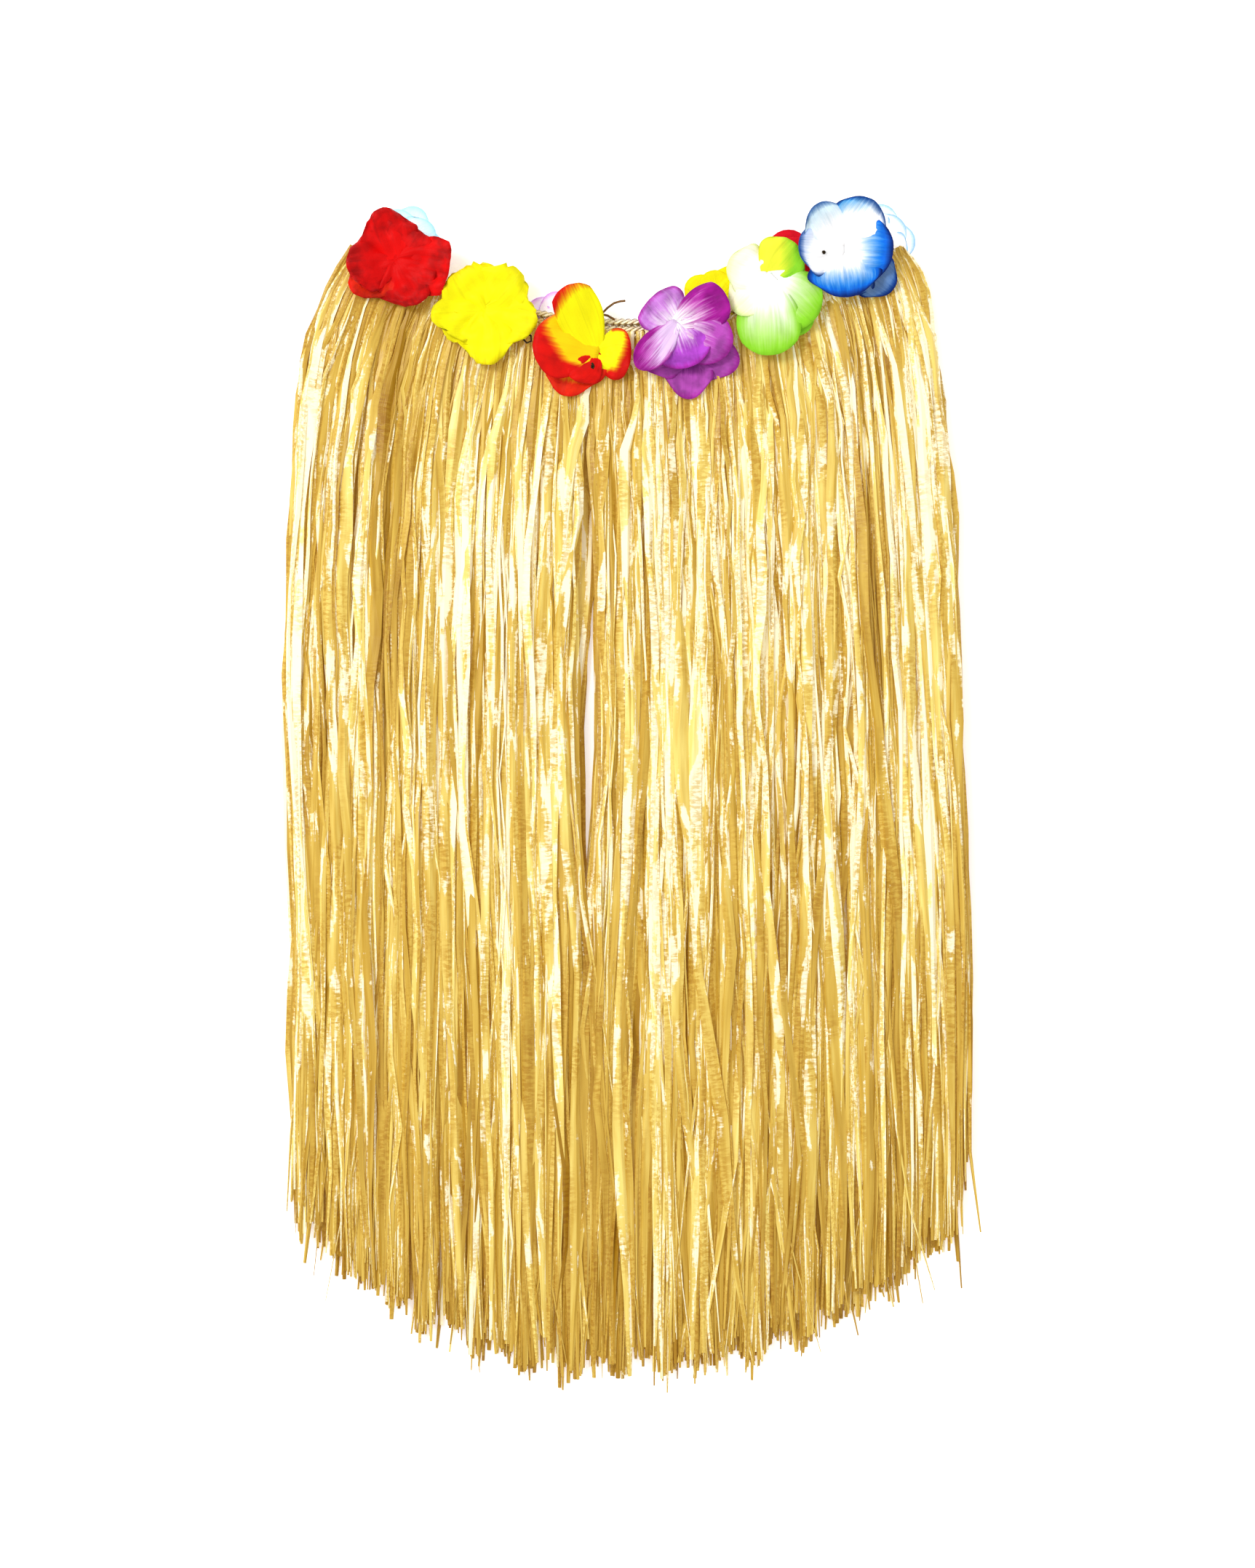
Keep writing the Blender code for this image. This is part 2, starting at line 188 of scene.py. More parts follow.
def layer_heights(nodes):
    """The underside and the top of some CAD nodes, over the grid of places."""
    bm = bmesh.new()
    for node in nodes:
        bm.from_mesh(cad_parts[node].data)
    tree = BVHTree.FromBMesh(bm)
    bm.free()
    fields = []
    for start, way in ((-RAY_START, 1), (RAY_START, -1)):
        field = np.full((len(GRID_X), len(GRID_Y)), np.nan)
        for column, x in enumerate(GRID_X):
            for row, y in enumerate(GRID_Y):
                hit = tree.ray_cast(Vector((x, y, start)), Vector((0, 0, way)))[0]
                if hit:
                    field[column, row] = hit.z
        fields.append(spread(field))
    return fields


def read_heights(field, x, y):
    """The heights at any places, between the grid's own."""
    u = np.clip((x - GRID_X[0]) / CELL, 0, len(GRID_X) - 1.001)
    v = np.clip((y - GRID_Y[0]) / CELL, 0, len(GRID_Y) - 1.001)
    column, row = u.astype(int), v.astype(int)
    u, v = u - column, v - row
    left = field[column, row] * (1 - v) + field[column, row + 1] * v
    right = field[column + 1, row] * (1 - v) + field[column + 1, row + 1] * v
    return left * (1 - u) + right * u


FRONT_HEIGHTS = layer_heights(["grass_front_left", "grass_front_right"])
BACK_HEIGHTS = layer_heights(["grass_back_left", "grass_back_right"])
print("front tops reach", round(float(FRONT_HEIGHTS[1].max()), 4))

# %% [markdown]
# ## The plan of a strand
#
# A strand leaves the heading square to it, so the ones at the sides start outwards, and then it turns and
# hangs straight down to the hem. A Bezier curve with four points does exactly that. The heading is part
# of a circle that is centred above the skirt, so an angle on it says where a strand starts. The ends of
# the heading meet in front, left of the middle, and the grass parts there in a narrow slit.

# %% The plan of a strand
HEADING_RADIUS = 0.350
HEADING_HALF_ANGLE = radians(36.5)
HEADING_HEIGHT = 16 * MM
heading_low, heading_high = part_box("heading_front")
ARC_X = (heading_low[0] + heading_high[0]) / 2
ARC_Y = heading_low[1] + HEADING_RADIUS + HEADING_HEIGHT / 2
HEM_LEFT_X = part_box("grass_front_left")[0][0]
HEM_RIGHT_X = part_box("grass_front_right")[1][0]
HEM_LOW_Y = cad_box[0][1]
HEM_RISE = 3.9
HEM_POWER = 2.6
HEM_LOWEST = HEM_LOW_Y + 3 * MM
STRAND_LEAD = 0.090
STRAND_LEAD_SLANT = -0.030
STRAND_TURN = 0.310
SLIT_ACROSS = -0.118
SLIT_PUSH = 0.060
SLIT_ALONG = (0.08, 0.15, 0.24, 0.34, 0.45, 0.56, 0.66, 0.74)
SLIT_HALF = (0.2 * MM, 0.8 * MM, 3.2 * MM, 5.6 * MM, 8.4 * MM, 10.5 * MM, 6.5 * MM, 0)
# The back layer parts later, and a little further right.
BACK_SLIT_HALF = (0, 0, 0, 0.6 * MM, 4.0 * MM, 8.5 * MM, 5.5 * MM, 0)
BACK_SLIT_SHIFT = (6 * MM, 6 * MM, 6 * MM, 6 * MM, 6 * MM, 2 * MM, 0, 0)


def arc_point(angle, radius):
    return np.stack([ARC_X + radius * np.sin(angle), ARC_Y - radius * np.cos(angle)], axis=-1)


def strand_plan(across, hem_across, short, start_radius, along):
    """Places in plan of many strands, as an array of strands by stations by 2."""
    angle = across * HEADING_HALF_ANGLE
    square = np.stack([np.sin(angle), -np.cos(angle)], axis=-1)
    start = arc_point(angle, start_radius)
    lead = start + square * (STRAND_LEAD + STRAND_LEAD_SLANT * across)[:, None]
    hem_x = HEM_LEFT_X + (HEM_RIGHT_X - HEM_LEFT_X) * (hem_across + 1) / 2
    hem_y = HEM_LOWEST + HEM_RISE * np.abs(hem_x)**HEM_POWER + short
    turn = np.stack([(hem_x + start[:, 0] * 0.12) / 1.12, start[:, 1] - STRAND_TURN], axis=-1)
    end = np.stack([hem_x, hem_y], axis=-1)
    t = along[None, :, None]
    rest = 1 - t
    corners = [corner[:, None, :] for corner in (start, lead, turn, end)]
    return (
        rest**3 * corners[0]
        + 3 * rest**2 * t * corners[1]
        + 3 * rest * t**2 * corners[2]
        + t**3 * corners[3]
    )


SLIT_X = float(strand_plan(np.array([SLIT_ACROSS]), np.array([SLIT_ACROSS]), np.zeros(1),
                           HEADING_RADIUS, np.array([0.5]))[0, 0, 0])
print("slit at x =", round(SLIT_X, 4))

# %% [markdown]
# ## One strand, drawn once
#
# Almost everything here is a long thin thing that repeats: strips of raffia, the plies of a cord, knots
# and stitches. Each kind is drawn once as a short straight body, by extruding its section station by
# station, and then copied along many paths at once by array arithmetic. A strip is film that has been
# folded along its length, so its section is a low ridge; a cord's section is round.

# %% One strand, drawn once
Template = namedtuple("Template", "points faces stations")
RIDGE = ((-0.5, 0.0), (0.5, 0.0), (0.08, 0.27))


def round_section(sides):
    return tuple((0.5 * cos(tau * side / sides), 0.5 * sin(tau * side / sides)) for side in range(sides))


def template_of(section, stations):
    """A straight body one unit wide, with one unit between its stations and an end at each end."""
    bm = bmesh.new()
    end = [bm.faces.new([bm.verts.new((across, 0, up)) for across, up in section])]
    for _ in range(stations - 1):
        grown = bmesh.ops.extrude_face_region(bm, geom=end)["geom"]
        end = [item for item in grown if isinstance(item, bmesh.types.BMFace)]
        new = [item for item in grown if isinstance(item, bmesh.types.BMVert)]
        bmesh.ops.translate(bm, verts=new, vec=(0, 1, 0))
    bmesh.ops.triangulate(bm, faces=[face for face in bm.faces if len(face.verts) > 4])
    bmesh.ops.recalc_face_normals(bm, faces=bm.faces)
    bm.verts.index_update()
    points = np.array([vert.co for vert in bm.verts])
    faces = [[vert.index for vert in face.verts] for face in bm.faces]
    bm.free()
    return Template(points, faces, np.rint(points[:, 1]).astype(int))


STRIP_STATIONS = 22
STRIP = template_of(RIDGE, STRIP_STATIONS)
print("faces in a strip:", len(STRIP.faces))

# %% [markdown]
# ## Joining many copies
#
# Each copy brings a path, a width and a roll at every station. The side of the strip is level and square
# to the path, and the roll turns it about the path. The template's points are then set off sideways and
# upwards from the path, all copies at once, and all of them become one mesh.

# %% Joining many copies
def unit(vectors):
    return vectors / np.maximum(np.linalg.norm(vectors, axis=-1, keepdims=True), 1e-9)


def bend(template, paths, widths, rolls, level=None):
    """The template's points along each path, as an array of copies by points by 3."""
    forward = unit(np.gradient(paths, axis=1))
    if level is None:
        level = unit(np.cross(forward, (0, 0, 1)))
    above = np.cross(level, forward)
    turn = rolls[..., None]
    side = level * np.cos(turn) + above * np.sin(turn)
    up = above * np.cos(turn) - level * np.sin(turn)
    station = template.stations
    out = template.points[:, 0][None, :, None]
    lift = template.points[:, 2][None, :, None]
    offset = side[:, station] * out + up[:, station] * lift
    return paths[:, station] + offset * widths[:, station][..., None]


def joined_mesh(name, template, places):
    """One mesh of many copies of a template."""
    copies, points = places.shape[:2]
    sizes = np.array([len(face) for face in template.faces])
    once = np.concatenate(template.faces)
    corners = (once[None] + (np.arange(copies) * points)[:, None]).reshape(-1)
    starts = np.concatenate([[0], np.cumsum(np.tile(sizes, copies))[:-1]])
    mesh = bpy.data.meshes.new(name)
    mesh.vertices.add(copies * points)
    mesh.vertices.foreach_set("co", places.astype(np.float32).reshape(-1))
    mesh.loops.add(len(corners))
    mesh.loops.foreach_set("vertex_index", corners.astype(np.int32))
    mesh.polygons.add(len(starts))
    mesh.polygons.foreach_set("loop_start", starts.astype(np.int32))
    mesh.update(calc_edges=True)
    mesh.validate()
    return mesh


def add_values(mesh, name, values):
    mesh.attributes.new(name, "FLOAT", "POINT").data.foreach_set(
        "value", np.ascontiguousarray(values, np.float32).reshape(-1))


def add_uvs(mesh, across, along):
    """A UV map: across the strip from 0 to 1, and along it in metres."""
    corners = np.empty(len(mesh.loops), np.int32)
    mesh.loops.foreach_get("vertex_index", corners)
    pairs = np.stack([across.reshape(-1)[corners], along.reshape(-1)[corners]], axis=-1)
    mesh.uv_layers.new(name="strip").data.foreach_set("uv", pairs.astype(np.float32).reshape(-1))


# %% [markdown]
# ## Pale and shaded places
#
# The grass isn't one colour. A broad band below the heading is given painted glare, pale patches that stand
# for the light it catches. The two sides get it too, the right one only at the top. Two long hollows are
# given painted shade: a darker tone and less painted glare. Where a strand passes decides its tone and its
# painted glare there, and both values are kept on its points, for the finish to read.

# %% Pale and shaded places
HEADING_DROP_TOP = heading_low[1]
# Painted glare by how far a place lies below the heading, bent up towards the sides: a pale band that
# stands for the gloss catching the light.
PAINTED_GLARE_BEND = 1.2
PAINTED_GLARE_DROP = (0.0, 0.05, 0.14, 0.36, 0.52, 0.80)
PAINTED_GLARE_SHARE = (0.10, 0.35, 0.95, 0.85, 0.35, 0.15)
# Two long hollows are given painted shade: along each, the tone is darker and the painted glare less, from
# its low end upwards.
Hollow = namedtuple("Hollow", "x half_width low depth")
HOLLOWS = (Hollow(-0.178, 0.016, 0.000, 0.26), Hollow(0.192, 0.020, -0.020, 0.16))
HOLLOW_FADE = 0.12
HOLLOW_DULLS = 0.8
# Where each pale side starts, how fast it fades in, and how much it adds to the painted glare and the tone.
Side = namedtuple("Side", "x way fade bleach tone")
PALE_LEFT = Side(-0.235, -1, 0.03, 0.5, 0.10)
PALE_RIGHT = Side(0.080, 1, 0.10, 0.65, 0.12)
PALE_RIGHT_DROP = 0.7


def shaded(paths, tones):
    """The tones and the painted glare along each path, with the painted shade of the hollows, from where it
    lies on the skirt.
    """
    x, y = paths[..., 0], paths[..., 1]
    drop = HEADING_DROP_TOP - y + PAINTED_GLARE_BEND * x ** 2
    bleach = np.interp(drop, PAINTED_GLARE_DROP, PAINTED_GLARE_SHARE)
    for side, share in ((PALE_LEFT, 1), (PALE_RIGHT, np.clip(1 - drop / PALE_RIGHT_DROP, 0, 1))):
        pale = np.clip(side.way * (x - side.x) / side.fade, 0, 1) * share
        bleach = bleach + side.bleach * pale
        tones = tones + side.tone * pale
    # Painted shade along the hollows.
    for hollow in HOLLOWS:
        shade = np.exp(-((x - hollow.x) / hollow.half_width) ** 2)
        shade = shade * np.clip((y - hollow.low) / HOLLOW_FADE, 0, 1)
        tones = tones - hollow.depth * shade
        bleach = bleach - HOLLOW_DULLS * shade
    return tones, np.clip(bleach, 0, 1)


# %% Finished meshes and objects
LOWEST = 0.15 * MM
SMOOTH_BELOW = radians(35)


def strand_mesh(name, rng, template, paths, widths, rolls, tones, level=None):
    """A joined mesh with the values that the raffia finish reads, and the length of each path."""
    widths, rolls, tones = (np.broadcast_to(value, paths.shape[:2]) for value in (widths, rolls, tones))
    places = bend(template, paths, widths, rolls, level)
    places[..., 2] = np.maximum(places[..., 2], LOWEST)
    mesh = joined_mesh(name, template, places)
    steps = np.linalg.norm(np.diff(paths, axis=1), axis=-1)
    lengths = np.concatenate([np.zeros((len(paths), 1)), np.cumsum(steps, axis=1)], axis=1)
    start = rng.uniform(0, 20, (len(paths), 1))
    across = template.points[:, 0][None] + 0.5 + np.floor(start * 7)
    station = template.stations
    add_uvs(mesh, across, (lengths + start)[:, station])
    tones, bleach = shaded(paths, tones)
    add_values(mesh, "tone", tones[:, station])
    add_values(mesh, "bleach", bleach[:, station])
    mesh.shade_smooth()
    mesh.set_sharp_from_angle(angle=SMOOTH_BELOW)
    return mesh, lengths[:, -1]


def object_of(mesh, material, slot, *nodes):
    """Puts a finished mesh in the scene, on the skirt's one body, in place of its CAD nodes."""
    mesh.materials.append(material)
    piece = placed(mesh.name, mesh)
    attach(piece, "root")
    if nodes:
        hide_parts(*nodes)
    return piece

# %% [markdown]
# ## The finish of raffia
#
# Artificial raffia is a thin glossy film that has been crinkled crosswise. Three things show: each strip
# has its own tone, from deep straw to cream, with near-white stretches of painted glare that stand for its
# gloss catching the light; fine creases run across it and make it sparkle, with painted shade along them;
# and long faint ribs run along it. One node group works these out from the strip's own UV map, tone and
# painted glare, so the creases follow every strip wherever it bends.

# %% Helpers for node trees
def new_node(tree, kind, inputs=None, **settings):
    """A node of this kind, with its settings made and its inputs filled."""
    node = tree.nodes.new("ShaderNode" + kind)
    for setting, value in settings.items():
        setattr(node, setting, value)
    return fill(tree, node, inputs or {})


def calc(tree, operation, *values, clamp=False):
    """The output of a Math node whose inputs are numbers or sockets."""
    return new_node(tree, "Math", dict(enumerate(values)), operation=operation, use_clamp=clamp).outputs[0]


def maths(tree):
    """Functions that add, subtract and multiply in this tree."""
    return [partial(calc, tree, operation) for operation in ("ADD", "SUBTRACT", "MULTIPLY")]


def ramp(tree, factor, stops):
    """A colour ramp with (place, colour) stops."""
    node = new_node(tree, "ValToRGB", {0: factor})
    elements = node.color_ramp.elements
    while len(elements) < len(stops):
        elements.new(0.5)
    for element, (place, colour) in zip(elements, stops):
        element.position = place
        element.color = (*colour, 1)
    return node.outputs[0]


def blend(tree, factor, first, second, mode="MIX"):
    """A colour mix. The factor is a socket or a number, and each colour is a socket or a colour."""
    inputs = {0: factor, 6: first, 7: second}
    return new_node(tree, "Mix", inputs, data_type="RGBA", blend_type=mode).outputs[2]


def noise(tree, vector, scale, detail=2.0, rough=0.5, warp=0.0):
    """Noise with one scale, or with a scale for each axis."""
    if isinstance(scale, tuple):
        vector = new_node(tree, "VectorMath", {0: vector, 1: scale}, operation="MULTIPLY").outputs[0]
        scale = 1.0
    inputs = {"Vector": vector, "Scale": scale, "Detail": detail, "Roughness": rough, "Distortion": warp}
    return new_node(tree, "TexNoise", inputs).outputs["Fac"]


def fitted(tree, value, low, high):
    """The value, with low to high stretched over 0 to 1."""
    return new_node(tree, "MapRange", {"Value": value, "From Min": low, "From Max": high}).outputs["Result"]


def attribute(tree, name, output="Fac"):
    return new_node(tree, "Attribute", attribute_name=name).outputs[output]


# %% Groups, and materials that use them
def new_group(name, inputs):
    """An empty node group with named inputs, which puts out a colour, a roughness and a height."""
    group = bpy.data.node_groups.new(name, "ShaderNodeTree")
    outputs = {"Color": "Color", "Roughness": "Float", "Height": "Float"}
    for way, sockets in (("INPUT", inputs), ("OUTPUT", outputs)):
        for socket, kind in sockets.items():
            group.interface.new_socket(socket, in_out=way, socket_type="NodeSocket" + kind)
    return group, group.nodes.new("NodeGroupInput").outputs, group.nodes.new("NodeGroupOutput")


def finish_from(name, group, uv_map, attributes, values, bump, bump_depth, shader_values):
    """A material whose colour, roughness and relief come from a group that reads the mesh's own values."""
    material, tree, shader = new_material(name)
    inputs = {socket: attribute(tree, *source) for socket, source in attributes.items()}
    inputs["Flat"] = new_node(tree, "UVMap", uv_map=uv_map).outputs["UV"]
    inputs["Place"] = new_node(tree, "TexCoord").outputs["Object"]
    node = new_node(tree, "Group", inputs | values, node_tree=group)
    colour, roughness, height = node.outputs
    relief = new_node(tree, "Bump", {"Height": height, "Strength": bump, "Distance": bump_depth})
    fill(tree, shader, {"Base Color": colour, "Roughness": roughness,
                        "Normal": relief.outputs["Normal"]} | shader_values)
    return material, tree, shader, node


# %% The raffia node group
DEEP_STRAW = (0.34, 0.175, 0.006)
STRAW = (0.63, 0.42, 0.065)
PALE_STRAW = (0.86, 0.70, 0.19)
CREAM = (0.99, 0.92, 0.46)
GLARE = (1.0, 0.97, 0.72)
STRAW_STOPS = ((0.0, DEEP_STRAW), (0.42, STRAW), (0.74, PALE_STRAW), (1.0, CREAM))
# Each scale is across a strip, then along it. The last one is for places on the whole skirt.
CREASES, CRINKLED_PLACES, RIBS, STREAKS = (1.6, 380, 1), (0.5, 13, 1), (16, 9, 1), (2.5, 14, 1)
PATCHES, REGIONS = (1.1, 19, 1), (9, 5, 1)


def raffia_group():
    inputs = {"Tone": "Float", "Bleach": "Float", "Flat": "Vector", "Place": "Vector"}
    group, given, result = new_group("crinkled_raffia", inputs)
    plus, minus, times = maths(group)
    flat, given_tone, bleach = given["Flat"], given["Tone"], given["Bleach"]
    creases = noise(group, flat, CREASES, 3.0, 0.65, 0.3)
    crinkled = fitted(group, noise(group, flat, CRINKLED_PLACES), 0.46, 0.58)
    ribs = noise(group, flat, RIBS)
    streaks = noise(group, flat, STREAKS, 3.0)
    patches = noise(group, flat, PATCHES, 3.0, 0.6, 0.5)
    region = noise(group, given["Place"], REGIONS)

    drift = times(minus(streaks, 0.5), 0.9)
    # Painted highlight: the painted-glare value lightens the tone. Below, near-white glare patches are laid
    # over the strips, more on the higher, paler strands and in broad places of the skirt, and broken by the
    # creases.
    tone = plus(plus(given_tone, drift), times(bleach, 0.16))
    colour = ramp(group, tone, STRAW_STOPS)
    shine = plus(plus(times(bleach, 0.12), times(region, 0.30)), times(given_tone, 0.42))
    broken = times(minus(creases, 0.5), 0.22)
    painted_glare_mask = fitted(group, plus(plus(patches, shine), broken), 0.945, 1.005)
    colour = blend(group, times(painted_glare_mask, 0.9), colour, GLARE)
    # Painted shade: the strip is darkened along its fine creases, where the crinkled film folds.
    crease_shade = times(fitted(group, creases, 0.56, 0.44), crinkled)
    colour = blend(group, times(crease_shade, 0.6), colour, STRAW, "MULTIPLY")
    rise = plus(times(crinkled, 0.9), 0.12)
    fill(group, result, {"Color": colour, "Roughness": plus(0.20, times(ribs, 0.22)),
                         "Height": plus(times(creases, rise), times(ribs, 0.30))})
    return group


# %% The raffia materials
RAFFIA_GROUP = raffia_group()
FILM_RELIEF = 0.6 * MM
# Every strip glows a little in a warm colour, the same everywhere: painted light that stands for light
# coming through the thin film, and keeps the gaps from going grey.
FILM_PAINTED_GLOW = (0.90, 0.42, 0.05)
FILM_PAINTED_GLOW_STRENGTH = 0.075


def raffia_material(name, bump=0.55, specular=0.25):
    shader_values = {"Specular IOR Level": specular, "Emission Color": FILM_PAINTED_GLOW,
                     "Emission Strength": FILM_PAINTED_GLOW_STRENGTH}
    return finish_from(name, RAFFIA_GROUP, "strip", {"Tone": ("tone",), "Bleach": ("bleach",)}, {},
                       bump, FILM_RELIEF, shader_values)[0]


RAFFIA = raffia_material("raffia")
print("raffia group has", len(RAFFIA_GROUP.nodes), "nodes")

# %% [markdown]
# ## The grass
#
# The strands of a layer start side by side along the heading and gather into locks towards the hem, where
# each lock ends in a ragged point. A strand keeps its own depth in the layer, wanders a little sideways,
# rolls, and is cut to its own length. Some stray across their neighbours. Each half of each layer is one
# mesh, left and right of the slit, in the place of its CAD solid.

# %% Laying a layer of strands
along = np.linspace(0, 1, STRIP_STATIONS)
LOCK_PULL = 0.55
SIDE_ROOM = 18 * MM  # how far inside the solid's side the strands start to crowd
SIDE_CROWDING = 0.42
STRAY_ROOM = 4 * MM  # how far outside the solid's side they may stray
# The sides swell a little where the grass is thickest: how far down, over what length, and how far out.
Swell = namedtuple("Swell", "side_x way y length out")
SWELLS = (Swell(HEM_LEFT_X, -1, 0.075, 0.110, 7 * MM), Swell(HEM_RIGHT_X, 1, -0.130, 0.120, 6 * MM))
SWELL_REACH = 0.045
HEM_LAP = 0.01  # how far, across, the locks of the two sides of the slit may lap
LONG_SHARE = 0.06  # the share of strands that were cut too long, and by how much
LONG_BY = 10 * MM
SLIT_NEAR = 0.05  # only strands this near the slit can fall inside it
MOST_ROLL = 1.1
TAPER = ((0, 0.08, 0.25, 0.90, 1.0), (0.45, 0.60, 1.0, 1.0, 0.30))
Bundle = namedtuple("Bundle", "count narrow wide low high sway stray")


def lock_ends(rng, bundle, across, left, right, locks):
    """Where each strand ends across the hem, gathered into locks, and how far it is cut short."""
    count = bundle.count
    hem_across = across + rng.normal(0, bundle.sway, count)
    nearest = locks[np.abs(hem_across[:, None] - locks[None, :]).argmin(axis=1)]
    lock_width = (right - left) / len(locks)
    off = (hem_across - nearest) / lock_width
    hem_across = nearest + off * lock_width * (1 - LOCK_PULL * rng.uniform(0.2, 1.0, count))
    hem_across = np.clip(hem_across, left - HEM_LAP, right + HEM_LAP)
    short = 0.009 * np.sin(nearest * 47) + 0.026 * np.abs(off) ** 1.5
    short = short + np.abs(rng.normal(0, 0.012, count))
    return hem_across, np.where(rng.random(count) < LONG_SHARE, short - LONG_BY, short)


def kept_in(strand_x, strand_y):
    """Places across the skirt, crowded together inside its sides, which swell a little."""
    for side_x, way in ((HEM_LEFT_X, -1), (HEM_RIGHT_X, 1)):
        over = np.maximum(way * (strand_x - side_x) + SIDE_ROOM, 0)
        strand_x = strand_x - way * over * (1 - SIDE_CROWDING)
    strand_x = np.clip(strand_x, HEM_LEFT_X - STRAY_ROOM, HEM_RIGHT_X + STRAY_ROOM)
    for swell in SWELLS:
        near = np.clip(1 - np.abs(strand_x - swell.side_x) / SWELL_REACH, 0, 1)
        level = np.exp(-((strand_y - swell.y) / swell.length) ** 2)
        strand_x = strand_x + swell.way * swell.out * near * level
    return strand_x


def parted(strand_x, side, is_front):
    """Places across the skirt, pushed to one side of the slit."""
    half_gap = np.interp(along, SLIT_ALONG, SLIT_HALF if is_front else BACK_SLIT_HALF, left=0, right=0)
    slit_x = SLIT_X + (0 if is_front else np.interp(along, SLIT_ALONG, BACK_SLIT_SHIFT))
    push = np.clip(1 - np.abs(strand_x - slit_x) / SLIT_PUSH, 0, 1)
    strand_x = strand_x + side * half_gap * push
    inside = side * (strand_x - slit_x - side * half_gap)
    in_gap = (half_gap > 0.5 * MM) & (np.abs(strand_x - slit_x) < SLIT_NEAR) & (inside < 0)
    return np.where(in_gap, slit_x + side * (half_gap + np.abs(inside) * 0.3), strand_x)


def lay_strands(rng, bundle, left, right, locks, heights, is_front):
    """Paths, widths, rolls and tones of one bundle of strands between two places across."""
    count = bundle.count
    across = np.sort(rng.uniform(left, right, count))
    hem_across, short = lock_ends(rng, bundle, across, left, right, locks)
    start_radius = HEADING_RADIUS + HEADING_HEIGHT * rng.uniform(0.30, 0.48, count)
    plan = strand_plan(across, hem_across, short, start_radius, along)

    t = along[None, :]
    phase = rng.uniform(0, tau, (3, count, 1))
    size = rng.gamma(2.0, 0.5, (3, count, 1))
    grow = t * (1.1 - 0.35 * t)
    quick = rng.uniform(3.5, 8.0, (count, 1))
    wander = (
        5.0 * MM * size[0] * np.sin(tau * 0.9 * t + phase[0]) * grow
        + 3.2 * MM * size[1] * np.sin(tau * 2.3 * t + phase[1]) * grow
        + 1.6 * MM * size[2] * np.sin(tau * quick * t + phase[2]) * np.sqrt(t)
        + rng.normal(0, 3.6 * MM, (count, 1)) * np.sin(pi * np.clip(t / 0.24, 0, 1))
    )
    is_stray = rng.random((count, 1)) < bundle.stray
    stray = is_stray * rng.normal(0, 0.032, (count, 1)) * t ** rng.uniform(2.5, 8, (count, 1))
    side = 1 if (left + right) / 2 > SLIT_ACROSS else -1
    plan[..., 0] = parted(kept_in(plan[..., 0] + wander + stray, plan[..., 1]), side, is_front)

    rank = rng.uniform(bundle.low, bundle.high, (count, 1))
    rank = np.clip(rank + 0.10 * np.sin(tau * 1.3 * t + phase[1]), 0.0, 1.0)
    under, top = (read_heights(field, plan[..., 0], plan[..., 1]) for field in heights)
    widths = bundle.narrow + (bundle.wide - bundle.narrow) * rng.random((count, 1)) ** 1.6
    widths = widths * np.interp(t, *TAPER) * (1 + 0.28 * np.sin(tau * 0.6 * quick * t + phase[2]))
    room = np.maximum(top - under - 1.4 * MM, 0.2 * MM)
    height = under + 0.5 * MM + room * rank
    paths = np.concatenate([plan, height[..., None]], axis=-1)

    rolls = rng.normal(0, 0.35, (count, 1)) + 0.55 * np.sin(tau * 0.8 * t + phase[0]) * size[2]
    # Strands lying lower in the layer get a darker tone, painted shade of the strands above them; all get a
    # little darker towards the hem.
    tones = rng.normal(0.55, 0.17, (count, 1)) - 0.40 * (1 - rank) - 0.06 * t
    return paths, widths, np.clip(rolls, -MOST_ROLL, MOST_ROLL), np.clip(tones, 0, 1)


def grass_panel(name, seed, bundles, left, right, lock_count, heights, is_front):
    """Half of a layer: all its bundles, joined into one mesh."""
    rng = np.random.default_rng(seed)
    locks = np.linspace(left, right, lock_count + 1)
    locks = (locks[:-1] + locks[1:]) / 2 + rng.normal(0, 0.012, lock_count)
    made = [lay_strands(rng, bundle, left, right, locks, heights, is_front) for bundle in bundles]
    paths, widths, rolls, tones = (np.concatenate(parts) for parts in zip(*made))
    mesh, lengths = strand_mesh(name, rng, STRIP, paths, widths, rolls, tones)
    return mesh, (float(widths.mean(axis=1).sum()), float(lengths.mean()))


# %% The four panels of grass
FRONT_BUNDLES = [
    Bundle(count=230, narrow=5.5 * MM, wide=11 * MM, low=0.00, high=0.50, sway=0.020, stray=0.05),
    Bundle(count=170, narrow=3.6 * MM, wide=11 * MM, low=0.40, high=0.95, sway=0.026, stray=0.20),
    Bundle(count=50, narrow=1.4 * MM, wide=3.2 * MM, low=0.75, high=1.00, sway=0.030, stray=0.40),
]
BACK_BUNDLES = [
    Bundle(count=200, narrow=5.5 * MM, wide=11 * MM, low=0.00, high=0.50, sway=0.020, stray=0.05),
    Bundle(count=160, narrow=3.6 * MM, wide=10 * MM, low=0.40, high=1.00, sway=0.026, stray=0.10),
]
BACK_LAP = 0.035  # the two halves of the back lap over each other behind the slit
Panel = namedtuple("Panel", "name seed bundles left right locks heights is_front rests_on")
SLIT_LEFT, SLIT_RIGHT = SLIT_ACROSS - BACK_LAP, SLIT_ACROSS + BACK_LAP
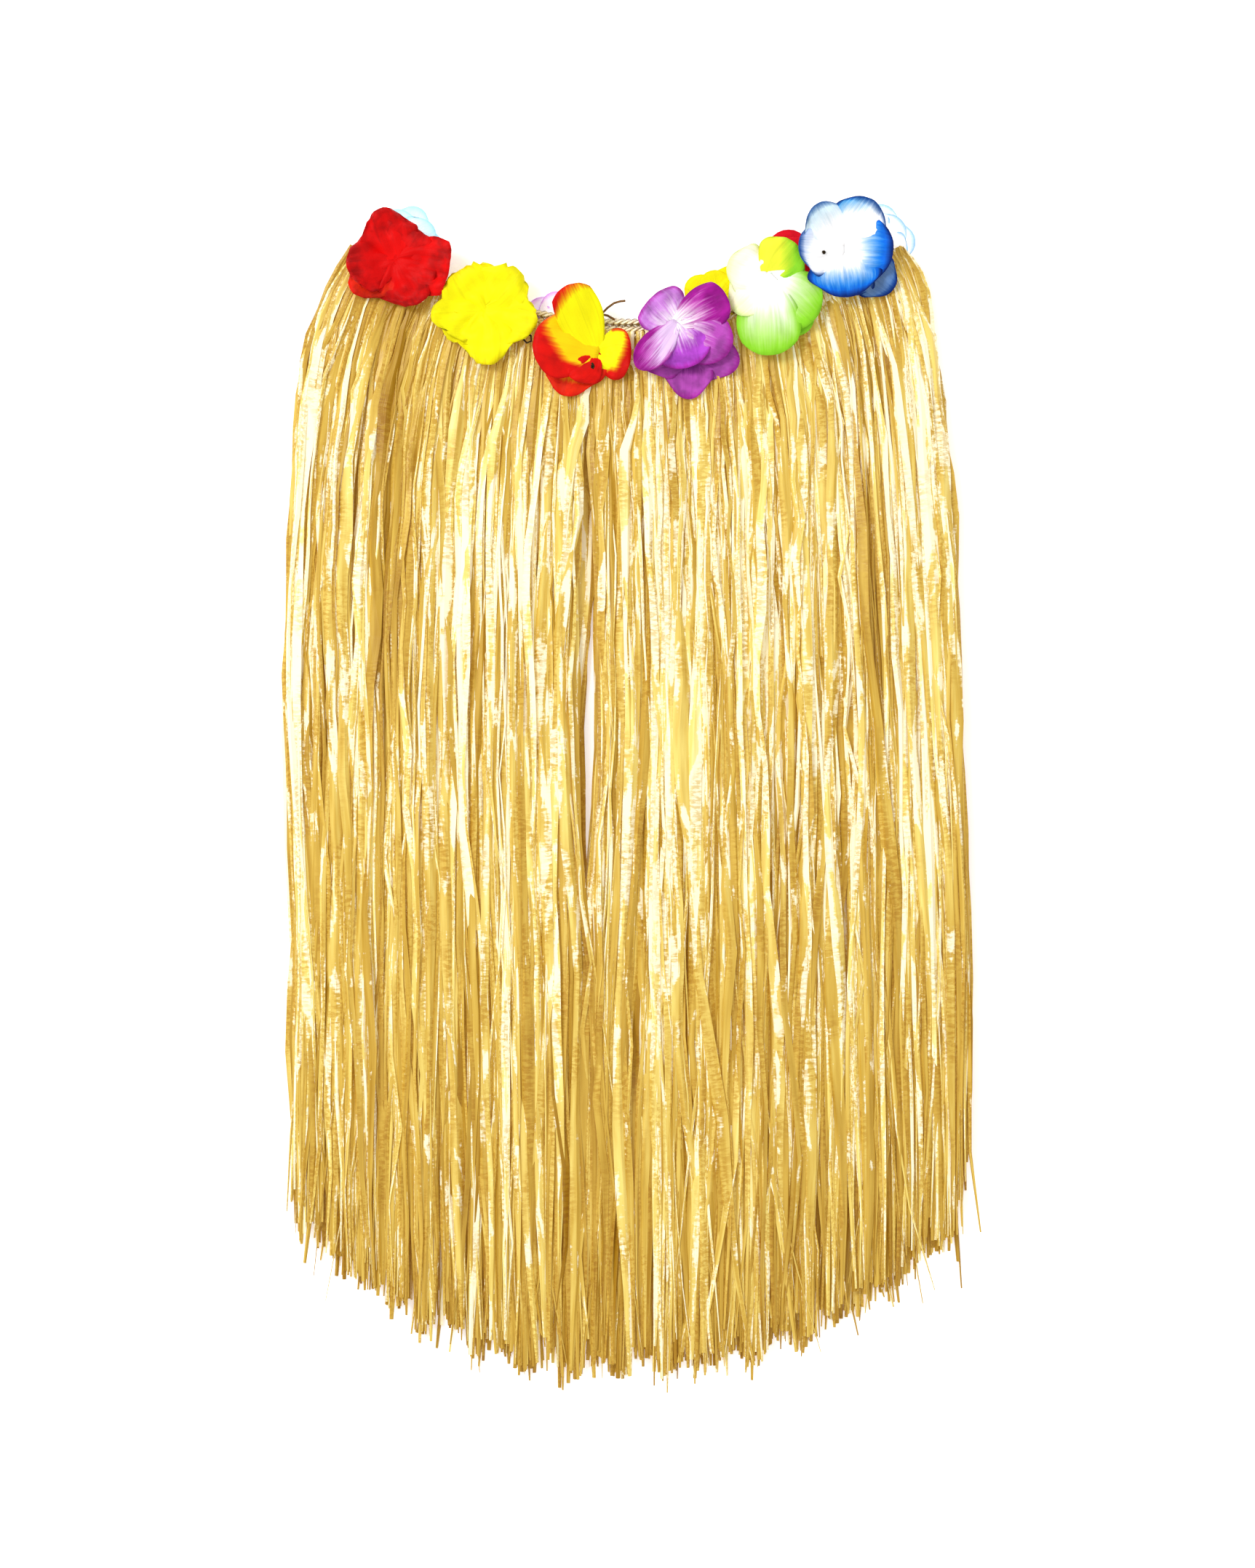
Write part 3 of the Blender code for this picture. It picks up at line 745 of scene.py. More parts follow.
PANELS = [
    Panel("grass_back_left", 11, BACK_BUNDLES, -1.0, SLIT_RIGHT, 12, BACK_HEIGHTS, False, "floor"),
    Panel("grass_back_right", 12, BACK_BUNDLES, SLIT_LEFT, 1.0, 15, BACK_HEIGHTS, False, "floor"),
    Panel("grass_front_left", 13, FRONT_BUNDLES, -1.0, SLIT_ACROSS, 12, FRONT_HEIGHTS, True,
          "grass_back_left_strands"),
    Panel("grass_front_right", 14, FRONT_BUNDLES, SLIT_ACROSS, 1.0, 15, FRONT_HEIGHTS, True,
          "grass_back_right_strands"),
]

for panel in PANELS:
    span = panel.right - panel.left
    bundles = [bundle._replace(count=round(bundle.count * span)) for bundle in panel.bundles]
    mesh, cut = grass_panel(f"{panel.name}_strands", panel.seed, bundles, panel.left, panel.right,
                            panel.locks, panel.heights, panel.is_front)
    piece = object_of(mesh, RAFFIA, "raffia", panel.name)
    print(panel.name, len(mesh.polygons) * 2, "triangles, cut", [round(value, 3) for value in cut])

# %% [markdown]
# ## The heading
#
# Three twisted cords run round the waist side by side. They start and end at the slit, pass along the
# front to the right side, turn under, come back along the back half and turn up again at the left side.
# Each cord is two plies that wind round each other, so each ply is a round strand along a helix about the
# cord's own route. Every strand of grass is looped over the lowest cord, and a brown thread is stitched
# between the upper two.

# %% The route of the heading
FRONT_Z = (heading_low[2] + heading_high[2]) / 2
BACK_Z = (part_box("heading_back")[0][2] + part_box("heading_back")[1][2]) / 2
TURN_RADIUS = (FRONT_Z - BACK_Z) / 2
LOOP_HALF_ANGLE = HEADING_HALF_ANGLE - radians(1.6)
ARC_LENGTH = 2 * LOOP_HALF_ANGLE * HEADING_RADIUS
TURN_LENGTH = pi * TURN_RADIUS
LOOP_LENGTH = 2 * ARC_LENGTH + 2 * TURN_LENGTH
HALVES = ((0, 1), (ARC_LENGTH + TURN_LENGTH, -1))  # where the front and back start, and which way is up


def on_loop(distance, out):
    """The place on the waist loop at a distance from its left side, and the way that points outwards."""
    distance = np.mod(distance, LOOP_LENGTH)
    right, back, left = ARC_LENGTH, ARC_LENGTH + TURN_LENGTH, 2 * ARC_LENGTH + TURN_LENGTH
    parts = [distance < right, distance < back, distance < left]
    still = 0 * distance
    angle = np.select(parts, [distance / HEADING_RADIUS - LOOP_HALF_ANGLE, still + LOOP_HALF_ANGLE,
                              LOOP_HALF_ANGLE - (distance - back) / HEADING_RADIUS], -LOOP_HALF_ANGLE)
    swing = np.select(parts, [still, (distance - right) / TURN_LENGTH * pi, still + pi],
                      pi - (distance - left) / TURN_LENGTH * pi)
    beyond = TURN_RADIUS * np.sin(swing) * np.where(distance < back, 1, -1)
    plan = arc_point(angle, HEADING_RADIUS + out)
    plan = plan + np.stack([np.cos(angle), np.sin(angle)], axis=-1) * beyond[..., None]
    height = (FRONT_Z + BACK_Z) / 2 + TURN_RADIUS * np.cos(swing)
    outwards = np.stack([np.sin(angle), -np.cos(angle), still], axis=-1)
    return np.concatenate([plan, height[..., None]], axis=-1), outwards


# %% The three cords
CORD_OUT = (-5.4 * MM, 0.0, 5.4 * MM)
PLY_WIDTH = 3.0 * MM
PLY_OFFSET = 1.25 * MM
PLY_PITCH = 10 * MM
PLY_STATIONS = 600
CORD_END_GAP = 0.6 * MM
CORD_TONE = 0.95
START = (SLIT_ACROSS * HEADING_HALF_ANGLE + LOOP_HALF_ANGLE) * HEADING_RADIUS

PLY = template_of(round_section(6), PLY_STATIONS)
distance = START + np.linspace(CORD_END_GAP, LOOP_LENGTH - CORD_END_GAP, PLY_STATIONS)
plies, levels = [], []
for cord, out in enumerate(CORD_OUT):
    centre, outwards = on_loop(distance, out)
    forward = unit(np.gradient(centre, axis=0))
    upwards = np.cross(outwards, forward)
    for ply in range(2):
        turn = tau * distance / PLY_PITCH + pi * ply + cord
        wobble = 1 + 0.12 * np.sin(distance * 310 + 2 * cord)
        offset = outwards * np.cos(turn)[:, None] + upwards * np.sin(turn)[:, None]
        plies.append(centre + offset * PLY_OFFSET * wobble[:, None])
        levels.append(outwards)
rng = np.random.default_rng(21)
ply_widths = PLY_WIDTH * (1 + 0.05 * np.sin(distance * 500))
cords, _ = strand_mesh("heading_cords", rng, PLY, np.array(plies), ply_widths, 0, CORD_TONE,
                       np.array(levels))

KNOTTED = raffia_material("knotted_raffia", bump=0.35, specular=0.3)
object_of(cords, KNOTTED, "raffia_knots", "heading_front", "heading_back",
          "heading_fold_left", "heading_fold_right")
print("cords:", len(cords.polygons), "faces, loop", round(LOOP_LENGTH, 3), "m")

# %% The loops over the lowest cord
LOOP_PITCH = 3.1 * MM
LOOP_STATIONS = 10
# A loop seen from the side: how far out from the lowest cord, and how high above its middle.
LOOP_ROUTE = ((15, -1.2), (11, 0.4), (7.5, 1.6), (4.5, 2.7), (1.8, 3.5), (-0.8, 3.6), (-2.6, 2.6),
              (-3.2, 0.8), (-3.0, -1.2), (-2.4, -2.4))

LOOP = template_of(RIDGE, LOOP_STATIONS)
loops, loop_widths, loop_levels = [], [], []
for start_distance, side in HALVES:
    for index in range(int(ARC_LENGTH / LOOP_PITCH)):
        at = start_distance + (index + 0.5 + rng.uniform(-0.25, 0.25)) * LOOP_PITCH
        centre, outwards = on_loop(np.array([at]), CORD_OUT[2])
        tangent = np.cross((0, 0, 1), outwards[0])
        lean = rng.uniform(-1.6, 1.6) * MM
        size = rng.uniform(0.85, 1.12)
        path = [
            centre[0] + outwards[0] * out * MM * size + tangent * lean * (1 - station / LOOP_STATIONS)
            + np.array((0, 0, side * up * MM * size))
            for station, (out, up) in enumerate(LOOP_ROUTE)
        ]
        loops.append(path)
        taper = np.interp(range(LOOP_STATIONS), (0, 3, 9), (1.2, 0.9, 0.7))
        loop_widths.append(rng.uniform(2.6, 4.2) * MM * taper)
        loop_levels.append(np.tile(tangent * side, (LOOP_STATIONS, 1)))
loop_tones = np.clip(rng.normal(0.58, 0.16, (len(loops), 1)), 0, 1)
loop_mesh, _ = strand_mesh("heading_loops", rng, LOOP, np.array(loops), np.array(loop_widths), 0,
                           loop_tones, np.array(loop_levels))
object_of(loop_mesh, RAFFIA, "raffia_knots")
print("loops:", len(loops))

# %% The brown stitches
STITCH_PITCH = 4.6 * MM
STITCH_HALF = 1.3 * MM
STITCH_STATIONS = 6
THREAD = template_of(round_section(5), STITCH_STATIONS)
THREAD_WIDTH = 0.5 * MM
steps = np.linspace(-1, 1, STITCH_STATIONS)
stitches, stitch_levels = [], []
for start_distance, side in HALVES:
    for index in range(int(ARC_LENGTH / STITCH_PITCH)):
        middle = start_distance + (index + 0.5 + rng.uniform(-0.2, 0.2)) * STITCH_PITCH
        at = middle + steps * STITCH_HALF * side
        centre, outwards = on_loop(at, (CORD_OUT[0] + CORD_OUT[1]) / 2)
        rise = side * (2.6 - 2.2 * np.abs(steps) ** 3) * MM
        offset = outwards * (steps * STITCH_HALF)[:, None] + np.array((0, 0, 1)) * rise[:, None]
        stitches.append(centre + offset)
        stitch_levels.append(np.cross((0, 0, 1), outwards))
stitch_mesh, _ = strand_mesh("heading_stitches", rng, THREAD, np.array(stitches), THREAD_WIDTH, 0, 0.5,
                             np.array(stitch_levels))


def thread_material(name, dark, light):
    material, tree, shader = new_material(name)
    twist = noise(tree, new_node(tree, "TexCoord").outputs["Object"], 1400)
    fill(tree, shader, {"Base Color": ramp(tree, twist, [(0.3, dark), (0.7, light)]),
                        "Roughness": 0.8, "Specular IOR Level": 0.1})
    return material


BROWN_THREAD = thread_material("brown_thread", (0.10, 0.045, 0.014), (0.30, 0.14, 0.04))
BLACK_THREAD = thread_material("black_thread", (0.010, 0.008, 0.004), (0.05, 0.03, 0.012))
object_of(stitch_mesh, BROWN_THREAD, "raffia_knots")
print("stitches:", len(stitches))

# %% [markdown]
# ## Loose ends and dark knots
#
# The stitching thread ends in two brown tails near the slit, one of which curls up past the waist, and
# three small black knots hold the flowers. Each is a round strand through a few places in millimetres:
# along the heading from its lowest point, out from its middle line, and up from the top of the cords.

# %% Loose ends and dark knots
LooseEnd = namedtuple("LooseEnd", "name width route")
LOOSE_ENDS = [
    LooseEnd("curl", 1.7, ((-24, -2, 1), (-22, -6, 2), (-19, -11, 4), (-15, -15, 6), (-10, -18.5, 7),
                           (-5, -20, 7), (-1, -20.5, 6))),
    LooseEnd("stub", 1.8, ((-27, -1, 1), (-25, -4, 2), (-22, -8, 2.4), (-19, -10, 2), (-15, -9.5, 1),
                           (-12, -8, 0.6), (-9, -6.5, 0.4))),
]
DARK_KNOTS = [
    LooseEnd("side_knot", 1.4, ((-80, 12, 4), (-77, 17, 6), (-73, 20, 7), (-70, 18, 7.6), (-71, 14, 7.6),
                                (-75, 13, 7), (-78, 16, 7))),
    LooseEnd("blue_knot", 1.4, ((166, -20.8, 10.6), (166.8, -21.2, 11), (167.7, -20.8, 11.2),
                                (167.9, -20, 11.2), (167.2, -19.4, 11), (166.3, -19.6, 11),
                                (166.3, -20.3, 11.6))),
    LooseEnd("slit_knot", 1.6, ((-24.5, 29, 12), (-23.6, 30, 12.6), (-23, 31.5, 12.8), (-23.5, 33, 12.4),
                                (-24.3, 32.4, 12.4), (-24.5, 31, 12.8), (-23.6, 30.6, 13.2))),
]
END_STATIONS = 7
END_TEMPLATE = template_of(round_section(6), END_STATIONS)
HEADING_TOP = float(heading_high[2])

for name, ends, thread in (("heading_loose_ends", LOOSE_ENDS, BROWN_THREAD),
                           ("heading_knots", DARK_KNOTS, BLACK_THREAD)):
    end_paths = np.array([
        [(*arc_point(np.array(x * MM / HEADING_RADIUS), HEADING_RADIUS + out * MM), HEADING_TOP + up * MM)
         for x, out, up in end.route]
        for end in ends
    ])
    end_widths = np.array([[end.width * MM] for end in ends])
    end_mesh, _ = strand_mesh(name, rng, END_TEMPLATE, end_paths, end_widths, 0, 0)
    object_of(end_mesh, thread, "raffia_knots")
    print(name, [end.name for end in ends])

# %% [markdown]
# ## A petal
#
# The flowers are cut from thin satin, two layers of five petals, and pressed into a cup over a warm form.
# A petal is a flat grid that is drawn out from the hub into a rounded fan. Then it is lifted, cupped
# across, curled at its end, and tilted so that it laps over the next one; on some, the rim's colour runs
# along one side. The grid's own two directions stay with each point, as the values the dye follows.

# %% The shape of a petal
Petal = namedtuple("Petal", "turn reach width lift tilt curl cup ruffle crumple inner outer start lean "
                            "edge square side", defaults=(0, 1, 0, 1))
HUB_HALF = 3.4 * MM
HUB_LAP = 2 * MM
WIDEST = 0.66
LIFT_SPREAD = 40 * MM
LIFT_POWER = 1.35
CURL_GROWTH = 9


def petal_outline(petal, u, v):
    """Where a grid point lies on the flat petal: along it from the hub, and across it."""
    if v < WIDEST:
        half = HUB_HALF + (petal.width / 2 - HUB_HALF) * sin(0.5 * pi * v / WIDEST) ** 0.9
    else:
        ends = 0.20 - 0.10 * petal.square
        half = petal.width / 2 * (1 - ends * ((v - WIDEST) / (1 - WIDEST)) ** 2)
    reach = petal.reach * (1 - (0.32 - 0.24 * petal.square) * abs(u) ** 2.3 * v)
    return -HUB_LAP + (reach + HUB_LAP) * v, half * u


def petal_height(petal, u, v, along_it, rank, phase):
    """How far a grid point stands above the hub."""
    height = petal.lift * (max(along_it, 0) / LIFT_SPREAD) ** LIFT_POWER
    height += petal.cup * u * u * v
    height += petal.tilt * u * v
    height -= petal.curl * max(0, v - WIDEST) ** 2 * CURL_GROWTH
    height += petal.ruffle * sin(5.2 * u + phase) * v**3
    height += 0.5 * petal.ruffle * sin(11 * u * v + 2 * phase) * v**2
    height += petal.crumple * perlin.noise(Vector((2.6 * u + 9 * phase, 3.4 * v, phase))) * min(1, 3 * v)
    return height + rank * 0.35 * MM * (1 - v)


def petal_layer(name, hub, petals, columns, rows, ragged=0.0):
    """A mesh of the petals of a layer, and the area of the cloth that it takes."""
    bm = bmesh.new()
    uv = bm.loops.layers.uv.new("petal")
    rim = bm.verts.layers.float.new("rim")
    start = bm.verts.layers.float.new("start")
    edge = bm.verts.layers.float.new("edge")
    dyes = [bm.verts.layers.float_color.new(f"{which}_dye") for which in ("inner", "outer")]
    area = 0
    for rank, petal in enumerate(petals):
        made = bmesh.ops.create_grid(bm, x_segments=columns, y_segments=rows, size=1)["verts"]
        grid = {vert: (vert.co.x, (vert.co.y + 1) / 2) for vert in made}
        faces = {face for vert in made for face in vert.link_faces}
        for face in faces:
            for loop in face.loops:
                u, v = grid[loop.vert]
                loop[uv].uv = (u + 3 * rank, v)
        for vert, (u, v) in grid.items():
            along_it, across = petal_outline(petal, u, v)
            along_it += ragged * MM * perlin.noise(Vector((6.5 * u, 7 * rank, petal.turn))) * v**4
            vert.co = (along_it, across, 0)
        area += sum(face.calc_area() for face in faces)
        phase = 1.7 * rank + petal.turn
        cos_turn, sin_turn = cos(radians(petal.turn)), sin(radians(petal.turn))
        for vert, (u, v) in grid.items():
            along_it, across = vert.co.x, vert.co.y
            height = petal_height(petal, u, v, along_it, rank, phase)
            vert.co = (hub[0] + along_it * cos_turn - across * sin_turn,
                       hub[1] + along_it * sin_turn + across * cos_turn, hub[2] + height)
            vert[rim] = max(v, petal.side * abs(u) * min(1, 2 * v)) + 0.10 * max(0, abs(u) + v - 1.5)
            vert[start] = petal.start - petal.lean * u
            vert[edge] = petal.edge
            vert[dyes[0]] = (*petal.inner, 1)
            vert[dyes[1]] = (*petal.outer, 1)
    mesh = bpy.data.meshes.new(name)
    bm.to_mesh(mesh)
    bm.free()
    mesh.shade_smooth()
    return mesh, area


# %% [markdown]
# ## The dyes
#
# Each petal is dyed from its middle outwards, and some have a third colour along the rim. The dye runs
# along the threads, so its border is streaky. A picture could be painted on every petal, but one node
# group that reads how far a place is from the middle gives each petal its own border from a few numbers.

# %% The dyes and the finish of a petal
SCREEN_GAMMA = 2.2


def screen(red, green, blue):
    """A dye as a screen shows it. Dyes are mixed so, and made linear afterwards."""
    return red / 255, green / 255, blue / 255


def petal_group():
    group, given, result = new_group("dyed_satin", {
        "Inner": "Color", "Outer": "Color", "Edge": "Color", "Rim": "Float", "Start": "Float",
        "Softness": "Float", "Edge amount": "Float", "Streaks": "Float", "Mottle": "Float",
        "Flat": "Vector", "Place": "Vector"})
    plus, minus, times = maths(group)
    flat, place, rim = given["Flat"], given["Place"], given["Rim"]
    streaks = noise(group, flat, (11, 1.3, 1), 3.0, 0.6)
    mottle = noise(group, place, 95, 3.0)
    veins = noise(group, flat, (8, 0.9, 1), 1.0, 0.4, 0.2)
    weave = noise(group, place, 1500)

    shift = times(minus(streaks, 0.5), given["Streaks"])
    behind = minus(plus(rim, times(shift, 2.0)), given["Start"])
    spread = plus(calc(group, "DIVIDE", behind, given["Softness"]), 0.5, clamp=True)
    colour = blend(group, spread, given["Inner"], given["Outer"])
    outline = fitted(group, plus(rim, times(shift, 0.4)), 0.86, 0.98)
    colour = blend(group, times(outline, given["Edge amount"]), colour, given["Edge"])
    # Soft dark blotches over the dyed part: partly the dye's own mottling, partly painted shade of the
    # crumpled cloth.
    blotches_and_shade = times(fitted(group, mottle, 0.62, 0.36), plus(times(spread, 0.9), 0.1))
    shade = minus(1.0, times(blotches_and_shade, given["Mottle"]))
    shade = minus(shade, times(fitted(group, veins, 0.56, 0.72), 0.10))
    grey = new_node(group, "CombineColor", {0: shade, 1: shade, 2: shade}).outputs[0]
    linear = new_node(group, "Gamma", {"Color": colour, "Gamma": SCREEN_GAMMA}).outputs[0]
    fill(group, result, {"Color": blend(group, 1.0, linear, grey, "MULTIPLY"),
                         "Roughness": plus(0.42, times(weave, 0.3)),
                         "Height": plus(veins, times(weave, 0.16))})
    return group


# %% The petal materials
PETAL_GROUP = petal_group()
CLOTH_RELIEF = 0.7 * MM
PETAL_ATTRIBUTES = {"Inner": ("inner_dye", "Color"), "Outer": ("outer_dye", "Color"),
                    "Rim": ("rim",), "Start": ("start",)}


def petal_material(name, edge, edge_amount, softness, streaks, mottle, glow=0.0):
    values = {"Edge": edge, "Mottle": mottle, "Softness": softness, "Streaks": streaks}
    shader_values = {"Specular IOR Level": 0.12, "Sheen Weight": 0.03, "Emission Strength": glow}
    material, tree, shader, node = finish_from(name, PETAL_GROUP, "petal", PETAL_ATTRIBUTES, values, 0.5,
                                               CLOTH_RELIEF, shader_values)
    edge_share = calc(tree, "MULTIPLY", attribute(tree, "edge"), edge_amount)
    tree.links.new(edge_share, node.inputs["Edge amount"])
    # The petal's own colour is also emitted, at the strength given: painted light that stands for the lit
    # surface's light coming through thin satin.
    tree.links.new(node.outputs["Color"], shader.inputs["Emission Color"])
    return material


WHITE = screen(255, 253, 252)
RED = screen(214, 2, 2)
BRIGHT_RED = screen(228, 8, 4)
CRIMSON = screen(214, 10, 34)
ORANGE_RED = screen(236, 44, 12)
YELLOW = screen(244, 236, 4)
DEEP_YELLOW = screen(226, 192, 2)
GOLD = screen(246, 206, 8)
SUNSET_RED = screen(220, 18, 4)
VIOLET = screen(184, 74, 208)
LIGHT_VIOLET = screen(212, 132, 226)
MAUVE = screen(184, 78, 182)
MAGENTA = screen(164, 26, 146)
DARK_PURPLE = screen(104, 22, 112)
PALE_VIOLET = screen(232, 200, 240)
PALE_YELLOW = screen(252, 252, 178)
LEMON = screen(240, 242, 60)
LIME = screen(138, 214, 44)
AZURE = screen(60, 150, 224)
DEEP_BLUE = screen(4, 44, 120)
STRONG_BLUE = screen(0, 104, 220)
PALE_AZURE = screen(140, 176, 240)
PALE_BLUE = screen(196, 232, 250)
SKY_BLUE = screen(150, 214, 236)
FAINT_BLUE = screen(196, 235, 247)
FAINT_VIOLET = screen(240, 226, 250)
SLATE = screen(76, 116, 178)
PALE_SLATE = screen(150, 180, 214)
print("petal group has", len(PETAL_GROUP.nodes), "nodes")

# %% [markdown]
# ## The flowers of the front
#
# Six flowers are sewn along the front of the heading. Each has a lower layer of five even petals and an
# upper layer whose petals have been pushed about in use, so the upper ones are listed one by one: five
# for each flower, but four for the sunset one. Turns are in degrees, anticlockwise from the right. A
# flower's place is an angle along the heading and how far it hangs below the heading's middle line.

# %% The front flowers
def mm_petal(turn, reach, width, lift, inner, outer, start=0.6, **more):
    """A petal with its sizes in millimetres, and everyday values for the rest."""
    sizes = dict(tilt=1.6, curl=1.2, cup=-1.0, ruffle=0.9, crumple=3.0)
    sizes.update(more)
    kept = {key: sizes.pop(key) for key in ("edge", "square", "lean", "side") if key in sizes}
    return Petal(turn, reach * MM, width * MM, lift * MM, inner=inner, outer=outer, start=start,
                 **{key: value * MM for key, value in sizes.items()}, **kept)


Flower = namedtuple("Flower", "name at down shift_x shift_y edge edge_amount softness streaks mottle "
                              "ragged lower_inner lower_outer lower_start lower_turn lower_reaches upper")
FRONT_FLOWERS = [
    Flower("red", -30.7, -3.3, 0, 0, RED, 0.3, 0.5, 0.2, 0.50, 1.2, BRIGHT_RED, ORANGE_RED, 0.5, 214,
           (42, 34, 31, 25, 32), [
        mm_petal(56, 29, 56, 12, RED, RED, square=1.15, crumple=4, curl=2.5),
        mm_petal(107, 40, 47, 15, BRIGHT_RED, RED, crumple=7, square=-0.3),
        mm_petal(186, 38, 46, 12, RED, RED, crumple=7, square=0.1),
        mm_petal(299, 39, 50, 12, RED, RED, cup=-2.4, crumple=8, square=-0.2),
        mm_petal(349, 42, 46, 11, RED, BRIGHT_RED, square=1.0, crumple=7)]),
    Flower("yellow", -17.8, 4.3, 0, 1, DEEP_YELLOW, 0.15, 0.5, 0.4, 0.20, 4.0, YELLOW, YELLOW, 0.7, -5,
           (38, 34, 38, 37, 38), [
        mm_petal(50, 40, 48, 11, YELLOW, YELLOW, square=0.0, crumple=5),
        # This petal's gold end and the deep yellow end of the one at 272 degrees are painted shade, where
        # the cloth folds.
        mm_petal(122, 37, 50, 9, YELLOW, GOLD, start=1.1, crumple=6, square=0.5),
        mm_petal(185, 42, 44, 8, YELLOW, YELLOW, square=-0.5, crumple=5),
        mm_petal(272, 42, 46, 9, YELLOW, DEEP_YELLOW, start=1.1, square=-0.2, crumple=6),
        mm_petal(345, 41, 46, 11, YELLOW, YELLOW, crumple=5, square=-0.2)]),
    Flower("sunset", -3.6, 20.0, -17, -3, SUNSET_RED, 0.5, 0.20, 0.12, 0.22, 0.3, GOLD, ORANGE_RED, 0.60,
           258, (31, 28, 20, 20, 27), [
        mm_petal(114, 54, 36, 16, YELLOW, SUNSET_RED, start=0.93, lean=0.12, curl=2.4, edge=0, square=0.8,
                 side=0.2),
        mm_petal(-4, 27, 40, 10, YELLOW, SUNSET_RED, start=0.78, lean=-0.20, square=0.6),
        mm_petal(222, 28, 36, 11, SUNSET_RED, SUNSET_RED, start=0.25, cup=-3.0),
        mm_petal(169, 49, 52, 11, GOLD, SUNSET_RED, start=0.70, lean=0.46, crumple=4, square=0.4)]),
    Flower("purple", 6.2, -0.9, 11, -18, MAGENTA, 0.6, 0.60, 0.50, 0.40, 0.2, DARK_PURPLE, MAUVE, 0.30, 268,
           (40, 40, 27, 27, 40), [
        mm_petal(334, 47, 42, 8, WHITE, MAUVE, start=0.40, crumple=4, square=0.4),
        mm_petal(133, 27, 42, 15, WHITE, LIGHT_VIOLET, start=0.46, cup=-2.2, square=0.7),
        mm_petal(27, 44, 35, 11, WHITE, MAGENTA, start=0.44, crumple=5, square=0.8),
        mm_petal(287, 36, 44, 12, WHITE, VIOLET, start=0.36, cup=-2.5, square=0.4),
        mm_petal(231, 46, 26, 11, PALE_VIOLET, MAGENTA, start=0.70, lean=-0.30, cup=3.5, square=0.5)]),
    Flower("green", 19.2, -21.4, 3.5, -20.3, LIME, 0.5, 0.60, 0.20, 0.10, 0.2, PALE_YELLOW, LIME, 0.55, 40,
           (24, 16, 28, 36, 36), [
        mm_petal(162, 32, 42, 9, WHITE, PALE_YELLOW, start=0.85, edge=0.35),
        mm_petal(50, 33, 41, 7, LEMON, LIME, start=0.78, lean=-0.70, edge=0.3, square=0.3),
        mm_petal(-45, 50, 53, 6, WHITE, LIME, start=0.60, square=0.3),
        mm_petal(228, 38, 38, 7, WHITE, PALE_YELLOW, start=0.80, edge=0.5),
        mm_petal(-88, 62, 50, 7, WHITE, LIME, start=0.66, square=0.6)]),
    Flower("blue", 29.8, -16.8, 12, -10, DEEP_BLUE, 1.0, 0.46, 0.22, 0.22, 0.2, PALE_SLATE, SLATE, 0.7, -38,
           (35, 25, 22, 22, 27), [
        mm_petal(122, 38, 44, 17, WHITE, PALE_BLUE, start=0.76, edge=0.7),
        mm_petal(56, 42, 46, 15, WHITE, AZURE, start=0.98, lean=0.35, curl=2.0, edge=0.8, square=0.3),
        mm_petal(-4, 39, 54, 12, WHITE, STRONG_BLUE, start=0.60, square=0.2),
        mm_petal(276, 39, 58, 15, WHITE, STRONG_BLUE, start=0.63),
        mm_petal(178, 34, 46, 17, WHITE, PALE_AZURE, start=0.90, lean=-0.15, edge=0.8)]),
]
PETAL_GRID = (14, 12)
PETAL_CLOTH = 0.35 * MM
SEWN_GAP = 0.5 * MM


def flower_hub(at, down):
    return arc_point(np.array(radians(at)), HEADING_RADIUS + down * MM)


def sew_layer(flower, part, petals, hub, finish, grid, ragged=0.0):
    """A layer of petals in the place of its CAD node, with the cloth it was cut from. Returns its name."""
    node, name = f"flower_{flower.name}_{part}", f"{flower.name}_petals_{part}"
    mesh, area = petal_layer(name, (*hub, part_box(node)[0][2] + SEWN_GAP), petals, *grid, ragged)
    piece = object_of(mesh, finish, f"petals_{flower.name}", node)
    cloth = piece.modifiers.new("cloth", "SOLIDIFY")
    cloth.thickness = PETAL_CLOTH
    cloth.offset = 0
    return name


